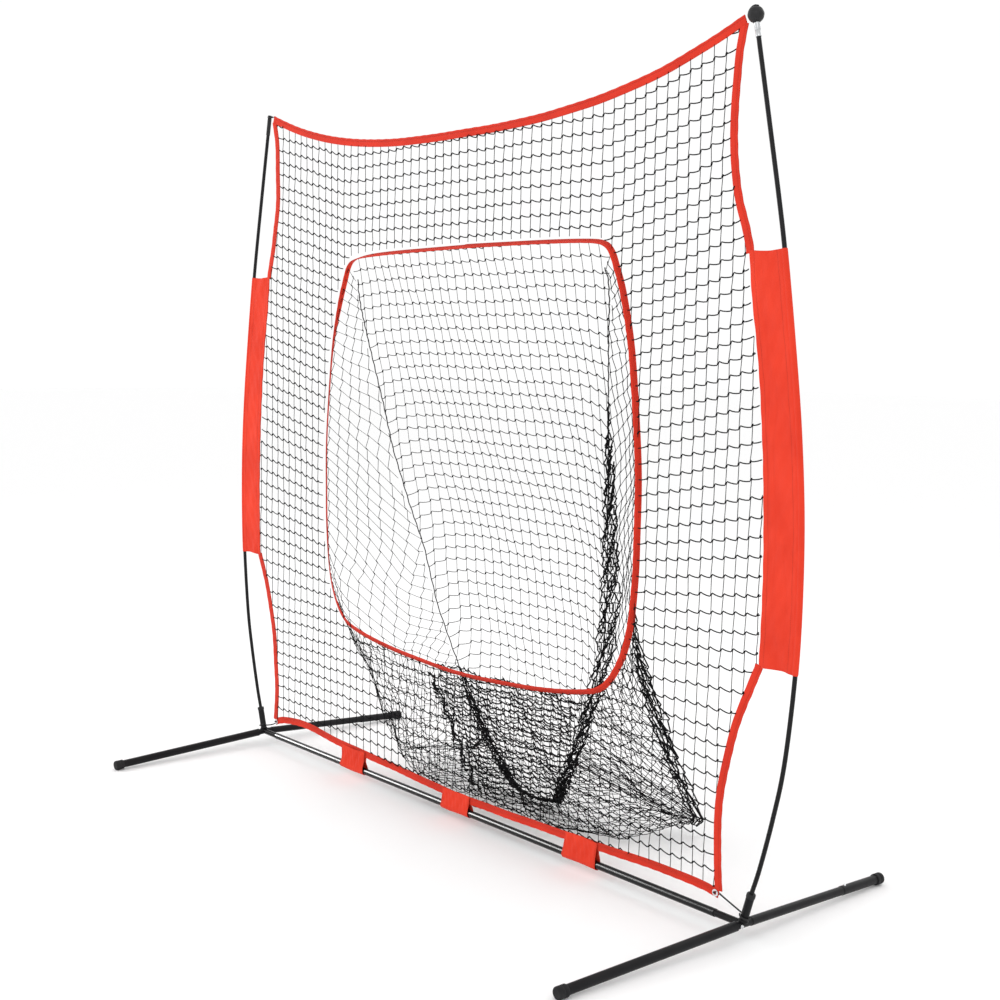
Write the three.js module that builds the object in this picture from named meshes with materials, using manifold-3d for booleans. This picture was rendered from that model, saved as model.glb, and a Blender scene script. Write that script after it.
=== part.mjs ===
// Portable ball-stopping net on a bow frame. Units are millimetres, +Z is up and -Y is the front.
// Two feet carry two sprung poles; a square-mesh net with a target hole and a catching pocket hangs
// between them, tied down to a crossbar.
import * as THREE from "three";
import Module from "manifold-3d";
import { mergeVertices } from "three/addons/utils/BufferGeometryUtils.js";

const wasm = await Module();
wasm.setup();

// ---------------------------------------------------------------- driving dimensions
const HUB_X = 1088; // half the distance between the two hubs
const HUB_Z = 37; // height of the hubs and the crossbar
const FOOT_END_X = 1066; // the legs toe in a little towards their ends
const FOOT_END_Y = 557;
const CAP_R = 15;
const FOOT_END_Z = CAP_R + 0.12; // the caps' lowest line is on the floor

const HUB_R = 9.7;
const HUB_REACH = 75; // how far the hub runs inside each leg
const FRONT_R = 12;
const REAR_R = 11;
const LEG_BORE = 10.2;
const FRONT_START = 22; // distance of the front leg's inner end from the hub's centre
const REAR_START = 28;
const REAR_END = 450;
const EXTENSION_START = 392;
const EXTENSION_R = 12;
const EXTENSION_BORE = 11.4;
const LEG_BUTTON_AT = 406;

const BUTTON_R = 4;
const BUTTON_HOLE_R = 4.4;
const BUTTON_OUT = 3; // how far a button stands out of its outer tube

const CROSSBAR_R = 10;
const CROSSBAR_BORE = 9.2;
const CROSSBAR_END = 1004;
const STUB_R = 8.9;
const STUB_BORE = 7.6;
const STUB_END = 855;
const CROSSBAR_BUTTON_AT = 873;
const BUTTON_LEAN = (27 * Math.PI) / 180; // of the crossbar buttons, from straight down

const SOCKET_TILT = THREE.MathUtils.degToRad(17);
const SOCKET_R = 10;
const SOCKET_BORE = 6.3;
const SOCKET_TOP = 72; // along the socket from the hub's centre
const COLLAR_R = 11;
const COLLAR_BORE = 5.9;
const COLLAR_TOP = 84;

const POLE_R = 5.5;
const POLE_FOOT = 26; // the pole's lower end, along the socket from the hub's centre
const POLE_CURVE = [
  [1134, 182],
  [1167, 306],
  [1195, 439],
  [1216, 632],
  [1223, 803],
  [1220, 1000],
  [1204, 1197],
  [1178, 1394],
  [1148, 1591],
  [1126, 1710],
  [1098, 1848],
  [1070, 1985],
  [1059, 2038],
];
const POLE_TOP = [1051, 2078];
const FERRULE_R = 6.8;
const BALL_R = 19;
const BALL = [1043.8, 2114];
const TIP_R = 6.5;
const TIP_TOP = [1041.6, 2125];

const TAPE = 23; // width of the tape that binds the net's edges
const TAPE_T = 5;
const HOLE_TAPE = 16;
const NET_T = 4;
const GAP = 0.5;
const CORNER_TOP = [1015, 2109];
const TOP_MID_Z = 1962;
const CORNER_BOTTOM = [1011, 86];
const UPPER_SIDE = [
  [1010, 2090],
  [998, 2035],
  [993, 1966],
  [990, 1887],
  [991, 1838],
  [997, 1788],
  [1013, 1710],
  [1033, 1650],
  [1046, 1606],
];
const LOWER_SIDE = [
  [1110, 646],
  [1100, 626],
  [1084, 590],
  [1069, 557],
  [1047, 498],
  [1028, 429],
  [1015, 370],
  [1007, 311],
  [1003, 232],
  [1005, 163],
  [1010, 108],
];
const BOTTOM_EDGE = [
  [0, 75],
  [230, 77],
  [443, 84],
  [640, 89],
  [852, 95],
  [960, 93],
];
const BOTTOM_EDGE_LEFT = [ // the left half rides up more towards its corner
  [-960, 101],
  [-870, 112],
  [-800, 113],
  [-706, 106],
  [-583, 97],
  [-407, 90],
  [-230, 84],
];
const SLEEVE = [
  // height, inner edge x, outer edge x
  [650, 1112, 1224],
  [754, 1115, 1231],
  [852, 1116, 1233],
  [951, 1114, 1232],
  [1099, 1107, 1225],
  [1197, 1099, 1215],
  [1296, 1089, 1203],
  [1394, 1075, 1189],
  [1493, 1058, 1174],
  [1598, 1046, 1158],
];
const SLEEVE_T = 3;
const HOLE = [
  [0, 1655],
  [180, 1654],
  [357, 1652],
  [507, 1647],
  [566, 1638],
  [594, 1616],
  [612, 1580],
  [640, 1508],
  [673, 1372],
  [697, 1178],
  [707, 1050],
  [707, 921],
  [704, 796],
  [688, 667],
  [655, 578],
  [598, 508],
  [515, 478],
  [344, 453],
  [111, 437],
  [0, 434],
];
// The pocket: its mouth follows the hole, the fold is its outer line, and the seam joins the side
// net to the back net. Each entry is x, y, z on the right half, from top centre to bottom centre.
const POCKET_T = 4;
const FOLD = [
  [0, 11, 1634],
  [180, 11, 1634],
  [355, 11, 1633],
  [500, 11, 1628],
  [552, 12, 1620],
  [578, 13, 1598],
  [594, 18, 1565],
  [612, 24, 1500],
  [630, 36, 1368],
  [640, 47, 1175],
  [645, 48, 1046],
  [652, 42, 925],
  [666, 34, 790],
  [660, 60, 622],
  [622, 170, 450],
  [582, 290, 270],
  [512, 488, 34],
  [450, 250, 8],
  [250, 190, 8],
  [0, 195, 8],
];
// The pocket's front line runs halfway from mouth to fold, but from entry FRONT_FROM, near the foot
// of the hole, the net hangs unevenly and the two sides have lines of their own.
const FRONT_FROM = 13;
const FRONT_RIGHT = [
  [680, 32, 625],
  [648, 85, 490],
  [600, 130, 350],
  [550, 210, 170],
  [400, 190, 50],
  [200, 110, 20],
  [0, 85, 12],
];
const FRONT_LEFT = [
  [-676, 30, 600],
  [-630, 45, 480],
  [-560, 75, 330],
  [-500, 135, 100],
  [-370, 115, 30],
  [-190, 90, 15],
];
const SEAM = [
  [0, 18, 1612],
  [175, 18, 1612],
  [345, 18, 1611],
  [485, 18, 1607],
  [530, 19, 1600],
  [552, 22, 1576],
  [560, 28, 1545],
  [557, 36, 1490],
  [540, 52, 1390],
  [508, 88, 1195],
  [487, 113, 1048],
  [450, 150, 880],
  [418, 185, 745],
  [380, 212, 560],
  [326, 232, 428],
  [266, 246, 310],
  [197, 266, 182],
  [132, 286, 84],
  [90, 306, 22],
  [0, 308, 5],
];
const BACK_BULGE = 55; // how far the back net sags behind its seam
const STRAP_X = 532;
const STRAP_WIDE = 130;
const STRAP_T = 2;
const CORD_R = 2;
const LOOP_R = 1.5;
const GROMMET_AT = [1003, 87];

// ---------------------------------------------------------------- materials
function material(color, roughness, metalness) {
  return new THREE.MeshStandardMaterial({ color, roughness, metalness });
}

// ---------------------------------------------------------------- solids
// Turns a closed geometry's faces outward.
function outward(geometry) {
  const g = mergeVertices(new THREE.BufferGeometry()
    .setAttribute("position", geometry.getAttribute("position"))
    .setIndex(geometry.index), 1e-4);
  const p = g.attributes.position;
  const index = Array.from(g.index.array);
  const kept = [];
  const [a, b, c] = [new THREE.Vector3(), new THREE.Vector3(), new THREE.Vector3()];
  let volume = 0;
  for (let i = 0; i < index.length; i += 3) {
    const [i0, i1, i2] = [index[i], index[i + 1], index[i + 2]];
    if (i0 === i1 || i1 === i2 || i2 === i0) continue;
    kept.push(i0, i1, i2);
    a.fromBufferAttribute(p, i0);
    b.fromBufferAttribute(p, i1);
    c.fromBufferAttribute(p, i2);
    volume += a.dot(b.cross(c));
  }
  if (volume < 0) {
    for (let i = 0; i < kept.length; i += 3) {
      [kept[i + 1], kept[i + 2]] = [kept[i + 2], kept[i + 1]];
    }
  }
  g.setIndex(kept);
  g.computeVertexNormals();
  return g;
}

function toSolid(geometry, matrix = new THREE.Matrix4()) {
  const g = outward(geometry.index ? geometry : mergeVertices(geometry, 1e-4));
  g.applyMatrix4(matrix);
  return new wasm.Manifold(new wasm.Mesh({
    numProp: 3,
    vertProperties: new Float32Array(g.attributes.position.array),
    triVerts: new Uint32Array(g.index.array),
  }));
}

function toGeometry(solid) {
  const m = solid.getMesh();
  const g = new THREE.BufferGeometry();
  g.setAttribute("position", new THREE.BufferAttribute(new Float32Array(m.vertProperties), 3));
  g.setIndex(new THREE.BufferAttribute(new Uint32Array(m.triVerts), 1));
  g.computeVertexNormals();
  return g;
}

// A body of revolution about its local +Y axis. profile: [radius, height] pairs.
function turned(profile, sides = 20) {
  return outward(new THREE.LatheGeometry(profile.map(([r, y]) => new THREE.Vector2(r, y)), sides));
}

function pipe(bore, radius, from, to, sides = 20) {
  return turned([[bore, from], [radius, from], [radius, to], [bore, to], [bore, from]], sides);
}

function rod(radius, from, to, sides = 20) {
  return turned([[0, from], [radius, from], [radius, to], [0, to]], sides);
}

// The matrix that lays a turned body's +Y along a direction from a point.
function along(origin, direction) {
  const turn = new THREE.Quaternion().setFromUnitVectors(
    new THREE.Vector3(0, 1, 0),
    direction.clone().normalize(),
  );
  return new THREE.Matrix4().compose(origin, turn, new THREE.Vector3(1, 1, 1));
}

// A closed shell from rows of points: every row is a closed loop with the same number of points.
// Rows run from one end of the body to the other, and both ends are filled.
function lofted(rows) {
  const n = rows[0].length;
  const position = rows.flat().flatMap((v) => [v.x, v.y, v.z]);
  const index = [];
  for (let r = 0; r + 1 < rows.length; r++) {
    for (let i = 0; i < n; i++) {
      const j = (i + 1) % n;
      const [a, b, c, d] = [r * n + i, r * n + j, (r + 1) * n + j, (r + 1) * n + i];
      index.push(a, b, c, a, c, d);
    }
  }
  for (const [row, flip] of [[0, true], [rows.length - 1, false]]) {
    const centre = position.length / 3;
    const mid = rows[row].reduce((s, v) => s.add(v), new THREE.Vector3()).divideScalar(n);
    position.push(mid.x, mid.y, mid.z);
    for (let i = 0; i < n; i++) {
      const j = (i + 1) % n;
      if (flip) index.push(centre, row * n + j, row * n + i);
      else index.push(centre, row * n + i, row * n + j);
    }
  }
  const g = new THREE.BufferGeometry();
  g.setAttribute("position", new THREE.Float32BufferAttribute(position, 3));
  g.setIndex(index);
  return outward(g);
}

// A round bar along a smooth path.
function bent(points, radius, steps, sides) {
  const curve = new THREE.CatmullRomCurve3(points, false, "centripetal");
  const frames = curve.computeFrenetFrames(steps, false);
  const rows = [];
  for (let s = 0; s <= steps; s++) {
    const centre = curve.getPointAt(s / steps);
    const row = [];
    for (let i = 0; i < sides; i++) {
      const a = (2 * Math.PI * i) / sides;
      row.push(centre.clone()
        .addScaledVector(frames.normals[s], radius * Math.cos(a))
        .addScaledVector(frames.binormals[s], radius * Math.sin(a)));
    }
    rows.push(row);
  }
  return lofted(rows);
}

// A smooth line through [x, z] points, sampled evenly.
function smooth(points, count, closed = false) {
  const curve = new THREE.CatmullRomCurve3(
    points.map(([x, z]) => new THREE.Vector3(x, z, 0)), closed, "centripetal");
  return curve.getSpacedPoints(count).map((v) => new THREE.Vector2(v.x, v.y));
}

// The same line moved sideways, to the left of its direction.
function shifted(line, distance) {
  return line.map((p, i) => {
    const before = line[Math.max(0, i - 1)];
    const after = line[Math.min(line.length - 1, i + 1)];
    const d = after.clone().sub(before).normalize();
    return new THREE.Vector2(p.x - d.y * distance, p.y + d.x * distance);
  });
}

// A flat sheet in the X-Z plane, cut to an outline of [x, z] points, with holes.
function sheet(outline, holes, thickness) {
  const shape = new THREE.Shape(THREE.ShapeUtils.isClockWise(outline) ? outline.reverse() : outline);
  shape.holes = holes.map((h) => new THREE.Path(h));
  const g = new THREE.ExtrudeGeometry(shape, { depth: thickness, bevelEnabled: false });
  g.translate(0, 0, -thickness / 2);
  g.rotateX(Math.PI / 2);
  return outward(mergeVertices(g.deleteAttribute("normal").deleteAttribute("uv"), 1e-4));
}

function tapeAlong(line, width) {
  return [...shifted(line, width / 2), ...shifted(line, -width / 2).reverse()];
}

function circle(x, z, r, n = 20) {
  return Array.from({ length: n }, (_, i) => {
    const a = (2 * Math.PI * i) / n;
    return new THREE.Vector2(x + r * Math.cos(a), z + r * Math.sin(a));
  });
}

function mirrored(line) {
  return line.map((p) => new THREE.Vector2(-p.x, p.y)).reverse();
}

// ---------------------------------------------------------------- lines of the net
function topEdge(count) {
  return Array.from({ length: count + 1 }, (_, i) => {
    const x = CORNER_TOP[0] * ((2 * i) / count - 1);
    const rise = (CORNER_TOP[1] - TOP_MID_Z) * Math.abs(x / CORNER_TOP[0]) ** 2.7;
    return new THREE.Vector2(x, TOP_MID_Z + rise);
  });
}

function bottomEdge(count) {
  const leftCorner = [-CORNER_BOTTOM[0], CORNER_BOTTOM[1]];
  return smooth([leftCorner, ...BOTTOM_EDGE_LEFT, ...BOTTOM_EDGE, CORNER_BOTTOM], count);
}

function holeLine(count) {
  const left = HOLE.slice(1, -1).map(([x, z]) => [-x, z]).reverse();
  return smooth([...HOLE, ...left], count, true).slice(0, count);
}

function loopShifted(loop, distance) {
  const n = loop.length;
  return loop.map((p, i) => {
    const d = loop[(i + 1) % n].clone().sub(loop[(i + n - 1) % n]).normalize();
    return new THREE.Vector2(p.x - d.y * distance, p.y + d.x * distance);
  });
}

// ---------------------------------------------------------------- one side of the frame
const UP = new THREE.Vector3(Math.sin(SOCKET_TILT), 0, Math.cos(SOCKET_TILT));
const HUB = new THREE.Vector3(HUB_X, 0, HUB_Z);
const FRONT_END = new THREE.Vector3(FOOT_END_X, -FOOT_END_Y, FOOT_END_Z);
const REAR_FAR = new THREE.Vector3(FOOT_END_X, FOOT_END_Y, FOOT_END_Z);
const FRONT_DIR = FRONT_END.clone().sub(HUB).normalize();
const REAR_DIR = REAR_FAR.clone().sub(HUB).normalize();
const LEG_LENGTH = FRONT_END.distanceTo(HUB);

function hubSolid(radius) {
  const front = toSolid(rod(radius, -radius * 0.3, HUB_REACH), along(HUB, FRONT_DIR));
  const rear = toSolid(rod(radius, -radius * 0.3, HUB_REACH), along(HUB, REAR_DIR));
  return front.add(rear);
}

// A push button: a round pin with a domed head.
function button(from, to) {
  return turned([
    [0, from],
    [BUTTON_R, from],
    [BUTTON_R, to - 1.6],
    [BUTTON_R * 0.82, to - 0.6],
    [BUTTON_R * 0.45, to],
    [0, to],
  ], 16);
}

function endCap() {
  return turned([
    [0, 0.4],
    [FRONT_R + 0.4, 0.4],
    [FRONT_R + 0.4, -20],
    [CAP_R - 1, -20],
    [CAP_R, -19],
    [CAP_R, 3],
    [CAP_R - 1.5, 6],
    [0, 6.5],
  ]);
}

function polePoints() {
  const foot = HUB.clone().addScaledVector(UP, POLE_FOOT);
  const mouth = HUB.clone().addScaledVector(UP, COLLAR_TOP + 2);
  const mid = HUB.clone().addScaledVector(UP, (POLE_FOOT + COLLAR_TOP) / 2);
  const rest = [...POLE_CURVE, POLE_TOP].map(([x, z]) => new THREE.Vector3(x, 0, z));
  return [foot, mid, mouth, ...rest];
}

// The sleeve: a flat double layer of fabric that runs round the pole at its outer edge.
function sleeveGeometry() {
  const curve = new THREE.CatmullRomCurve3(polePoints(), false, "centripetal");
  const track = curve.getSpacedPoints(200);
  const poleX = (z) => {
    const i = track.findIndex((p) => p.z >= z);
    const [a, b] = [track[i - 1], track[i]];
    return a.x + ((b.x - a.x) * (z - a.z)) / (b.z - a.z);
  };
  const rowsOut = [];
  const rowsIn = [];
  for (const [z, inner] of SLEEVE) {
    const x = poleX(z);
    const out = [];
    const bore = [];
    for (let k = 0; k <= 10; k++) {
      const a = Math.PI * (0.62 - (1.24 * k) / 10);
      out.push(new THREE.Vector3(x + 9 * Math.cos(a), 9 * Math.sin(a), z));
    }
    out.push(new THREE.Vector3(x - 30, -SLEEVE_T, z));
    out.push(new THREE.Vector3(inner, -SLEEVE_T, z));
    out.push(new THREE.Vector3(inner, SLEEVE_T, z));
    out.push(new THREE.Vector3(x - 30, SLEEVE_T, z));
    for (let k = 0; k < 12; k++) {
      const a = (-2 * Math.PI * k) / 12;
      bore.push(new THREE.Vector3(x + 6.6 * Math.cos(a), 6.6 * Math.sin(a), z));
    }
    rowsOut.push(out);
    rowsIn.push(bore);
  }
  rowsIn[0].forEach((v) => (v.z -= 5));
  rowsIn[rowsIn.length - 1].forEach((v) => (v.z += 5));
  return toGeometry(toSolid(lofted(rowsOut)).subtract(toSolid(lofted(rowsIn))));
}

// A side tape, cut clear of the tape that crosses its end.
function sideTape(line, crossing) {
  const tape = toSolid(sheet(tapeAlong(line, TAPE), [], TAPE_T));
  return toGeometry(tape.subtract(toSolid(sheet(tapeAlong(crossing, TAPE + 2 * GAP), [], 3 * TAPE_T))));
}

// The cord from the net's corner to the foot of the socket, round which it is tied once.
function tieCordPoints() {
  const [gx, gz] = GROMMET_AT;
  const points = [
    new THREE.Vector3(gx, -9, gz + 3),
    new THREE.Vector3(gx, -4, gz),
    new THREE.Vector3(gx, 4, gz - 0.5),
    new THREE.Vector3(gx + 5, 7.5, gz - 3),
    new THREE.Vector3(gx + 16, 8.5, gz - 8),
    new THREE.Vector3(gx + 50, 11, gz - 22),
  ];
  const across = new THREE.Vector3(Math.cos(SOCKET_TILT), 0, -Math.sin(SOCKET_TILT));
  for (let k = 0; k <= 11; k++) {
    const a = Math.PI * (0.75 - (1.6 * k) / 11);
    points.push(HUB.clone()
      .addScaledVector(UP, 17.5 + (5.2 * k) / 11)
      .addScaledVector(across, 12.6 * Math.cos(a))
      .add(new THREE.Vector3(0, 12.6 * Math.sin(a), 0)));
  }
  return points;
}

function sideParts(side, paint) {
  const parts = [];
  const add = (name, geometry, mat, origin, direction) => {
    const mesh = new THREE.Mesh(geometry, mat);
    mesh.name = `${name}_${side}`;
    if (origin) mesh.applyMatrix4(along(origin, direction));
    parts.push(mesh);
    return mesh;
  };
  const { steel, frontSteel, plastic, rubber, chrome, fibre, red, black } = paint;
  const toHub = new THREE.Vector3(-1, 0, 0);

  add("hub_tube", toGeometry(hubSolid(HUB_R)), steel);
  add("foot_front_tube", pipe(LEG_BORE, FRONT_R, FRONT_START, LEG_LENGTH), frontSteel, HUB, FRONT_DIR);

  const rearHole = toSolid(rod(BUTTON_HOLE_R, 0, 40, 16),
    along(HUB.clone().addScaledVector(REAR_DIR, LEG_BUTTON_AT), new THREE.Vector3(0, 0, 1)));
  const rearTube = toSolid(pipe(LEG_BORE, REAR_R, REAR_START, REAR_END), along(HUB, REAR_DIR));
  add("foot_rear_tube", toGeometry(rearTube.subtract(rearHole)), steel);
  const extension = toSolid(pipe(EXTENSION_BORE, EXTENSION_R, EXTENSION_START, LEG_LENGTH),
    along(HUB, REAR_DIR));
  add("foot_rear_extension", toGeometry(extension.subtract(rearHole)), frontSteel);
  add("foot_snap_button", button(3, EXTENSION_R + BUTTON_OUT), chrome,
    HUB.clone().addScaledVector(REAR_DIR, LEG_BUTTON_AT), new THREE.Vector3(0, 0, 1));
  add("foot_front_cap", endCap(), rubber, FRONT_END, FRONT_DIR);
  add("foot_rear_cap", endCap(), rubber, REAR_FAR, REAR_DIR);

  const socket = toSolid(pipe(SOCKET_BORE, SOCKET_R, 2, SOCKET_TOP), along(HUB, UP));
  add("pole_socket", toGeometry(socket.subtract(hubSolid(HUB_R + 0.3))), steel);
  add("socket_collar", turned([
    [COLLAR_BORE, SOCKET_TOP + 0.3],
    [COLLAR_R - 0.8, SOCKET_TOP + 0.3],
    [COLLAR_R, SOCKET_TOP + 1.5],
    [COLLAR_R, COLLAR_TOP - 2.5],
    [COLLAR_R - 2.5, COLLAR_TOP],
    [COLLAR_BORE, COLLAR_TOP],
    [COLLAR_BORE, SOCKET_TOP + 0.3],
  ]), plastic, HUB, UP);
  const boltAt = new THREE.Vector3(HUB_X + HUB_R + 0.3, -13, HUB_Z - 1);
  add("hub_bolt", turned([[0, 0], [5, 0], [5, 1.6], [3.6, 3.2], [0, 4]], 16), chrome,
    boltAt, new THREE.Vector3(1, 0, 0));

  const stub = toSolid(pipe(STUB_BORE, STUB_R, 4, HUB_X - STUB_END), along(HUB, toHub));
  const facing = crossbarButtonFacing(side === "left" ? -1 : 1);
  const buttonAt = new THREE.Vector3(CROSSBAR_BUTTON_AT, 0, HUB_Z);
  const stubHole = toSolid(rod(BUTTON_HOLE_R, 0, 30, 16), along(buttonAt, facing));
  add("crossbar_stub", toGeometry(stub.subtract(hubSolid(HUB_R + 0.3)).subtract(
    toSolid(pipe(SOCKET_R + 0.3 - 10, SOCKET_R + 0.3, 2, SOCKET_TOP), along(HUB, UP)),
  ).subtract(stubHole)), steel);
  add("crossbar_snap_button", button(2, CROSSBAR_R + BUTTON_OUT), chrome, buttonAt, facing);

  add("bow_pole", bent(polePoints(), POLE_R, 36, 12), fibre);
  add("side_sleeve", sleeveGeometry(), red);
  add("side_tape_upper", sideTape(smooth(UPPER_SIDE, 14), topEdge(28)), red);
  add("side_tape_lower", sideTape(smooth(LOWER_SIDE, 16), bottomEdge(24)), red);

  const grommet = new THREE.Vector3(GROMMET_AT[0], 0, GROMMET_AT[1]);
  const flange = TAPE_T / 2 + 0.3;
  add("corner_grommet", turned([
    [4.6, -flange - 1],
    [9, -flange - 0.6],
    [9, -flange],
    [5.4, -flange],
    [5.4, flange],
    [9, flange],
    [9, flange + 0.6],
    [4.6, flange + 1],
    [4.6, -flange - 1],
  ]), chrome, grommet, new THREE.Vector3(0, 1, 0));
  add("tie_cord", bent(tieCordPoints(), CORD_R, 40, 8), black);
  return parts;
}

// ---------------------------------------------------------------- pole tops
function rightTop(paint) {
  const top = new THREE.Vector3(POLE_TOP[0], 0, POLE_TOP[1]);
  const ball = new THREE.Vector3(BALL[0], 0, BALL[1]);
  const axis = ball.clone().sub(top).normalize();
  const reach = ball.distanceTo(top);
  const ferrule = new THREE.Mesh(
    turned([
      [POLE_R + 0.4, -14],
      [FERRULE_R, -14],
      [FERRULE_R, reach - 17.5],
      [0, reach - 17.5],
      [0, 0.5],
      [POLE_R + 0.4, 0.5],
      [POLE_R + 0.4, -14],
    ], 20), paint.ferrule);
  ferrule.name = "pole_ferrule_right";
  ferrule.applyMatrix4(along(top, axis));

  const outline = [[0, reach - 17]];
  for (let k = 0; k <= 10; k++) {
    const a = -1.1 + ((Math.PI / 2 + 1.1) * k) / 10;
    outline.push([BALL_R * Math.cos(a), reach + BALL_R * Math.sin(a)]);
  }
  const ballSolid = toSolid(turned(outline, 24), along(top, axis));
  const loop = topLoopPoints(ball);
  const groove = toSolid(bent(loop, LOOP_R + 0.5, 28, 8));
  const ballMesh = new THREE.Mesh(toGeometry(ballSolid.subtract(groove)), paint.plastic);
  ballMesh.name = "pole_ball_right";

  const cord = new THREE.Mesh(bent(loop, LOOP_R, 28, 8), paint.black);
  cord.name = "corner_loop_right";
  return [ferrule, ballMesh, cord];
}

// The loop at the net's top corner runs up over the ball and back.
function topLoopPoints(ball) {
  const points = [];
  const r = BALL_R + 0.6;
  const arc = (from, to, count, y) => {
    for (let k = 0; k <= count; k++) {
      const a = from + ((to - from) * k) / count;
      points.push(new THREE.Vector3(ball.x + r * Math.cos(a), y, ball.z + r * Math.sin(a)));
    }
  };
  const corner = new THREE.Vector3(CORNER_TOP[0] + 8.5, 0, CORNER_TOP[1] + 3);
  points.push(corner.clone().add(new THREE.Vector3(0, -2.2, 0)));
  arc(2.75, 1.45, 7, -4);
  points.push(new THREE.Vector3(ball.x + r * Math.cos(1.25), 0, ball.z + r * Math.sin(1.25)));
  arc(1.45, 2.75, 7, 4);
  points.push(corner.clone().add(new THREE.Vector3(0, 2.2, 0)));
  return points;
}

function leftTop(paint) {
  const top = new THREE.Vector3(POLE_TOP[0], 0, POLE_TOP[1]);
  const end = new THREE.Vector3(TIP_TOP[0], 0, TIP_TOP[1]);
  const axis = end.clone().sub(top).normalize();
  const reach = end.distanceTo(top);
  const tip = new THREE.Mesh(
    turned([
      [POLE_R + 0.4, -16],
      [TIP_R, -16],
      [TIP_R, reach - 9],
      [TIP_R - 1.5, reach - 8],
      [TIP_R - 1.5, reach - 4.5],
      [TIP_R, reach - 3.5],
      [TIP_R, reach - 1.5],
      [TIP_R - 1.5, reach],
      [0, reach],
      [0, 0.5],
      [POLE_R + 0.4, 0.5],
      [POLE_R + 0.4, -16],
    ], 20), paint.plastic);
  tip.name = "pole_tip_left";
  tip.applyMatrix4(along(top, axis));

  const neck = top.clone().addScaledVector(axis, reach - 6.2);
  const across = new THREE.Vector3(axis.z, 0, -axis.x);
  const points = [new THREE.Vector3(CORNER_TOP[0] + 3.5, -3.2, CORNER_TOP[1] + 9)];
  for (let k = 0; k <= 10; k++) {
    const a = -2.1 + (4.2 * k) / 10;
    points.push(neck.clone()
      .addScaledVector(across, 7 * Math.cos(a))
      .add(new THREE.Vector3(0, 7 * Math.sin(a), 0)));
  }
  points.push(new THREE.Vector3(CORNER_TOP[0] + 3.5, 3.2, CORNER_TOP[1] + 9));
  const cord = new THREE.Mesh(bent(points, LOOP_R, 24, 8), paint.black);
  cord.name = "corner_loop_left";
  return [tip, cord];
}

// ---------------------------------------------------------------- the net
// The net inside its bound edges. It is cut clear of the tapes; the slivers outside them are dropped.
function netPanel() {
  const upper = smooth(UPPER_SIDE, 14);
  const lower = smooth(LOWER_SIDE, 16);
  const beside = SLEEVE.map(([z, inner]) => new THREE.Vector2(inner - GAP, z)).reverse();
  const rightSide = [...upper, ...beside, ...lower];
  const outline = [...topEdge(28), ...rightSide, ...bottomEdge(24).reverse(), ...mirrored(rightSide)];
  const hole = loopShifted(holeLine(56), HOLE_TAPE / 2 + GAP);
  let panel = toSolid(sheet(outline, [hole], NET_T));
  for (const line of [topEdge(28), bottomEdge(24), upper, lower, mirrored(upper), mirrored(lower)]) {
    panel = panel.subtract(toSolid(sheet(tapeAlong(line, TAPE + 2 * GAP), [], 3 * TAPE_T)));
  }
  return toGeometry(panel.decompose().sort((a, b) => b.volume() - a.volume())[0]);
}

function topTape() {
  const line = topEdge(28);
  return sheet(tapeAlong(line, TAPE), [], TAPE_T);
}

function bottomTape() {
  const line = bottomEdge(24);
  const outline = tapeAlong(line, TAPE);
  const holes = [1, -1].map((s) => circle(s * GROMMET_AT[0], GROMMET_AT[1], 5.8));
  return sheet(outline, holes, TAPE_T);
}

function holeTape() {
  const line = holeLine(56);
  const outer = loopShifted(line, HOLE_TAPE / 2);
  const inner = loopShifted(line, -HOLE_TAPE / 2);
  return sheet(outer, [inner], TAPE_T);
}

// Right-half points closed into a full loop of 2 (n - 1) points.
// The way a crossbar button points: down, and to the rear on the right end, to the front on the left.
function crossbarButtonFacing(end) {
  return new THREE.Vector3(0, end * Math.sin(BUTTON_LEAN), -Math.cos(BUTTON_LEAN));
}

function fullLoop(half) {
  const left = half.slice(1, -1).map(([x, y, z]) => [-x, y, z]).reverse();
  return [...half, ...left].map((p) => new THREE.Vector3(...p));
}

// The front line of the pocket, in the order of fullLoop.
function frontLoop(mouth, fold) {
  const front = mouth.map((v, i) => v.clone().lerp(fold[i], 0.5));
  const given = [...FRONT_RIGHT, ...[...FRONT_LEFT].reverse()];
  given.forEach((p, i) => front[FRONT_FROM + i].set(...p));
  return front;
}

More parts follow.
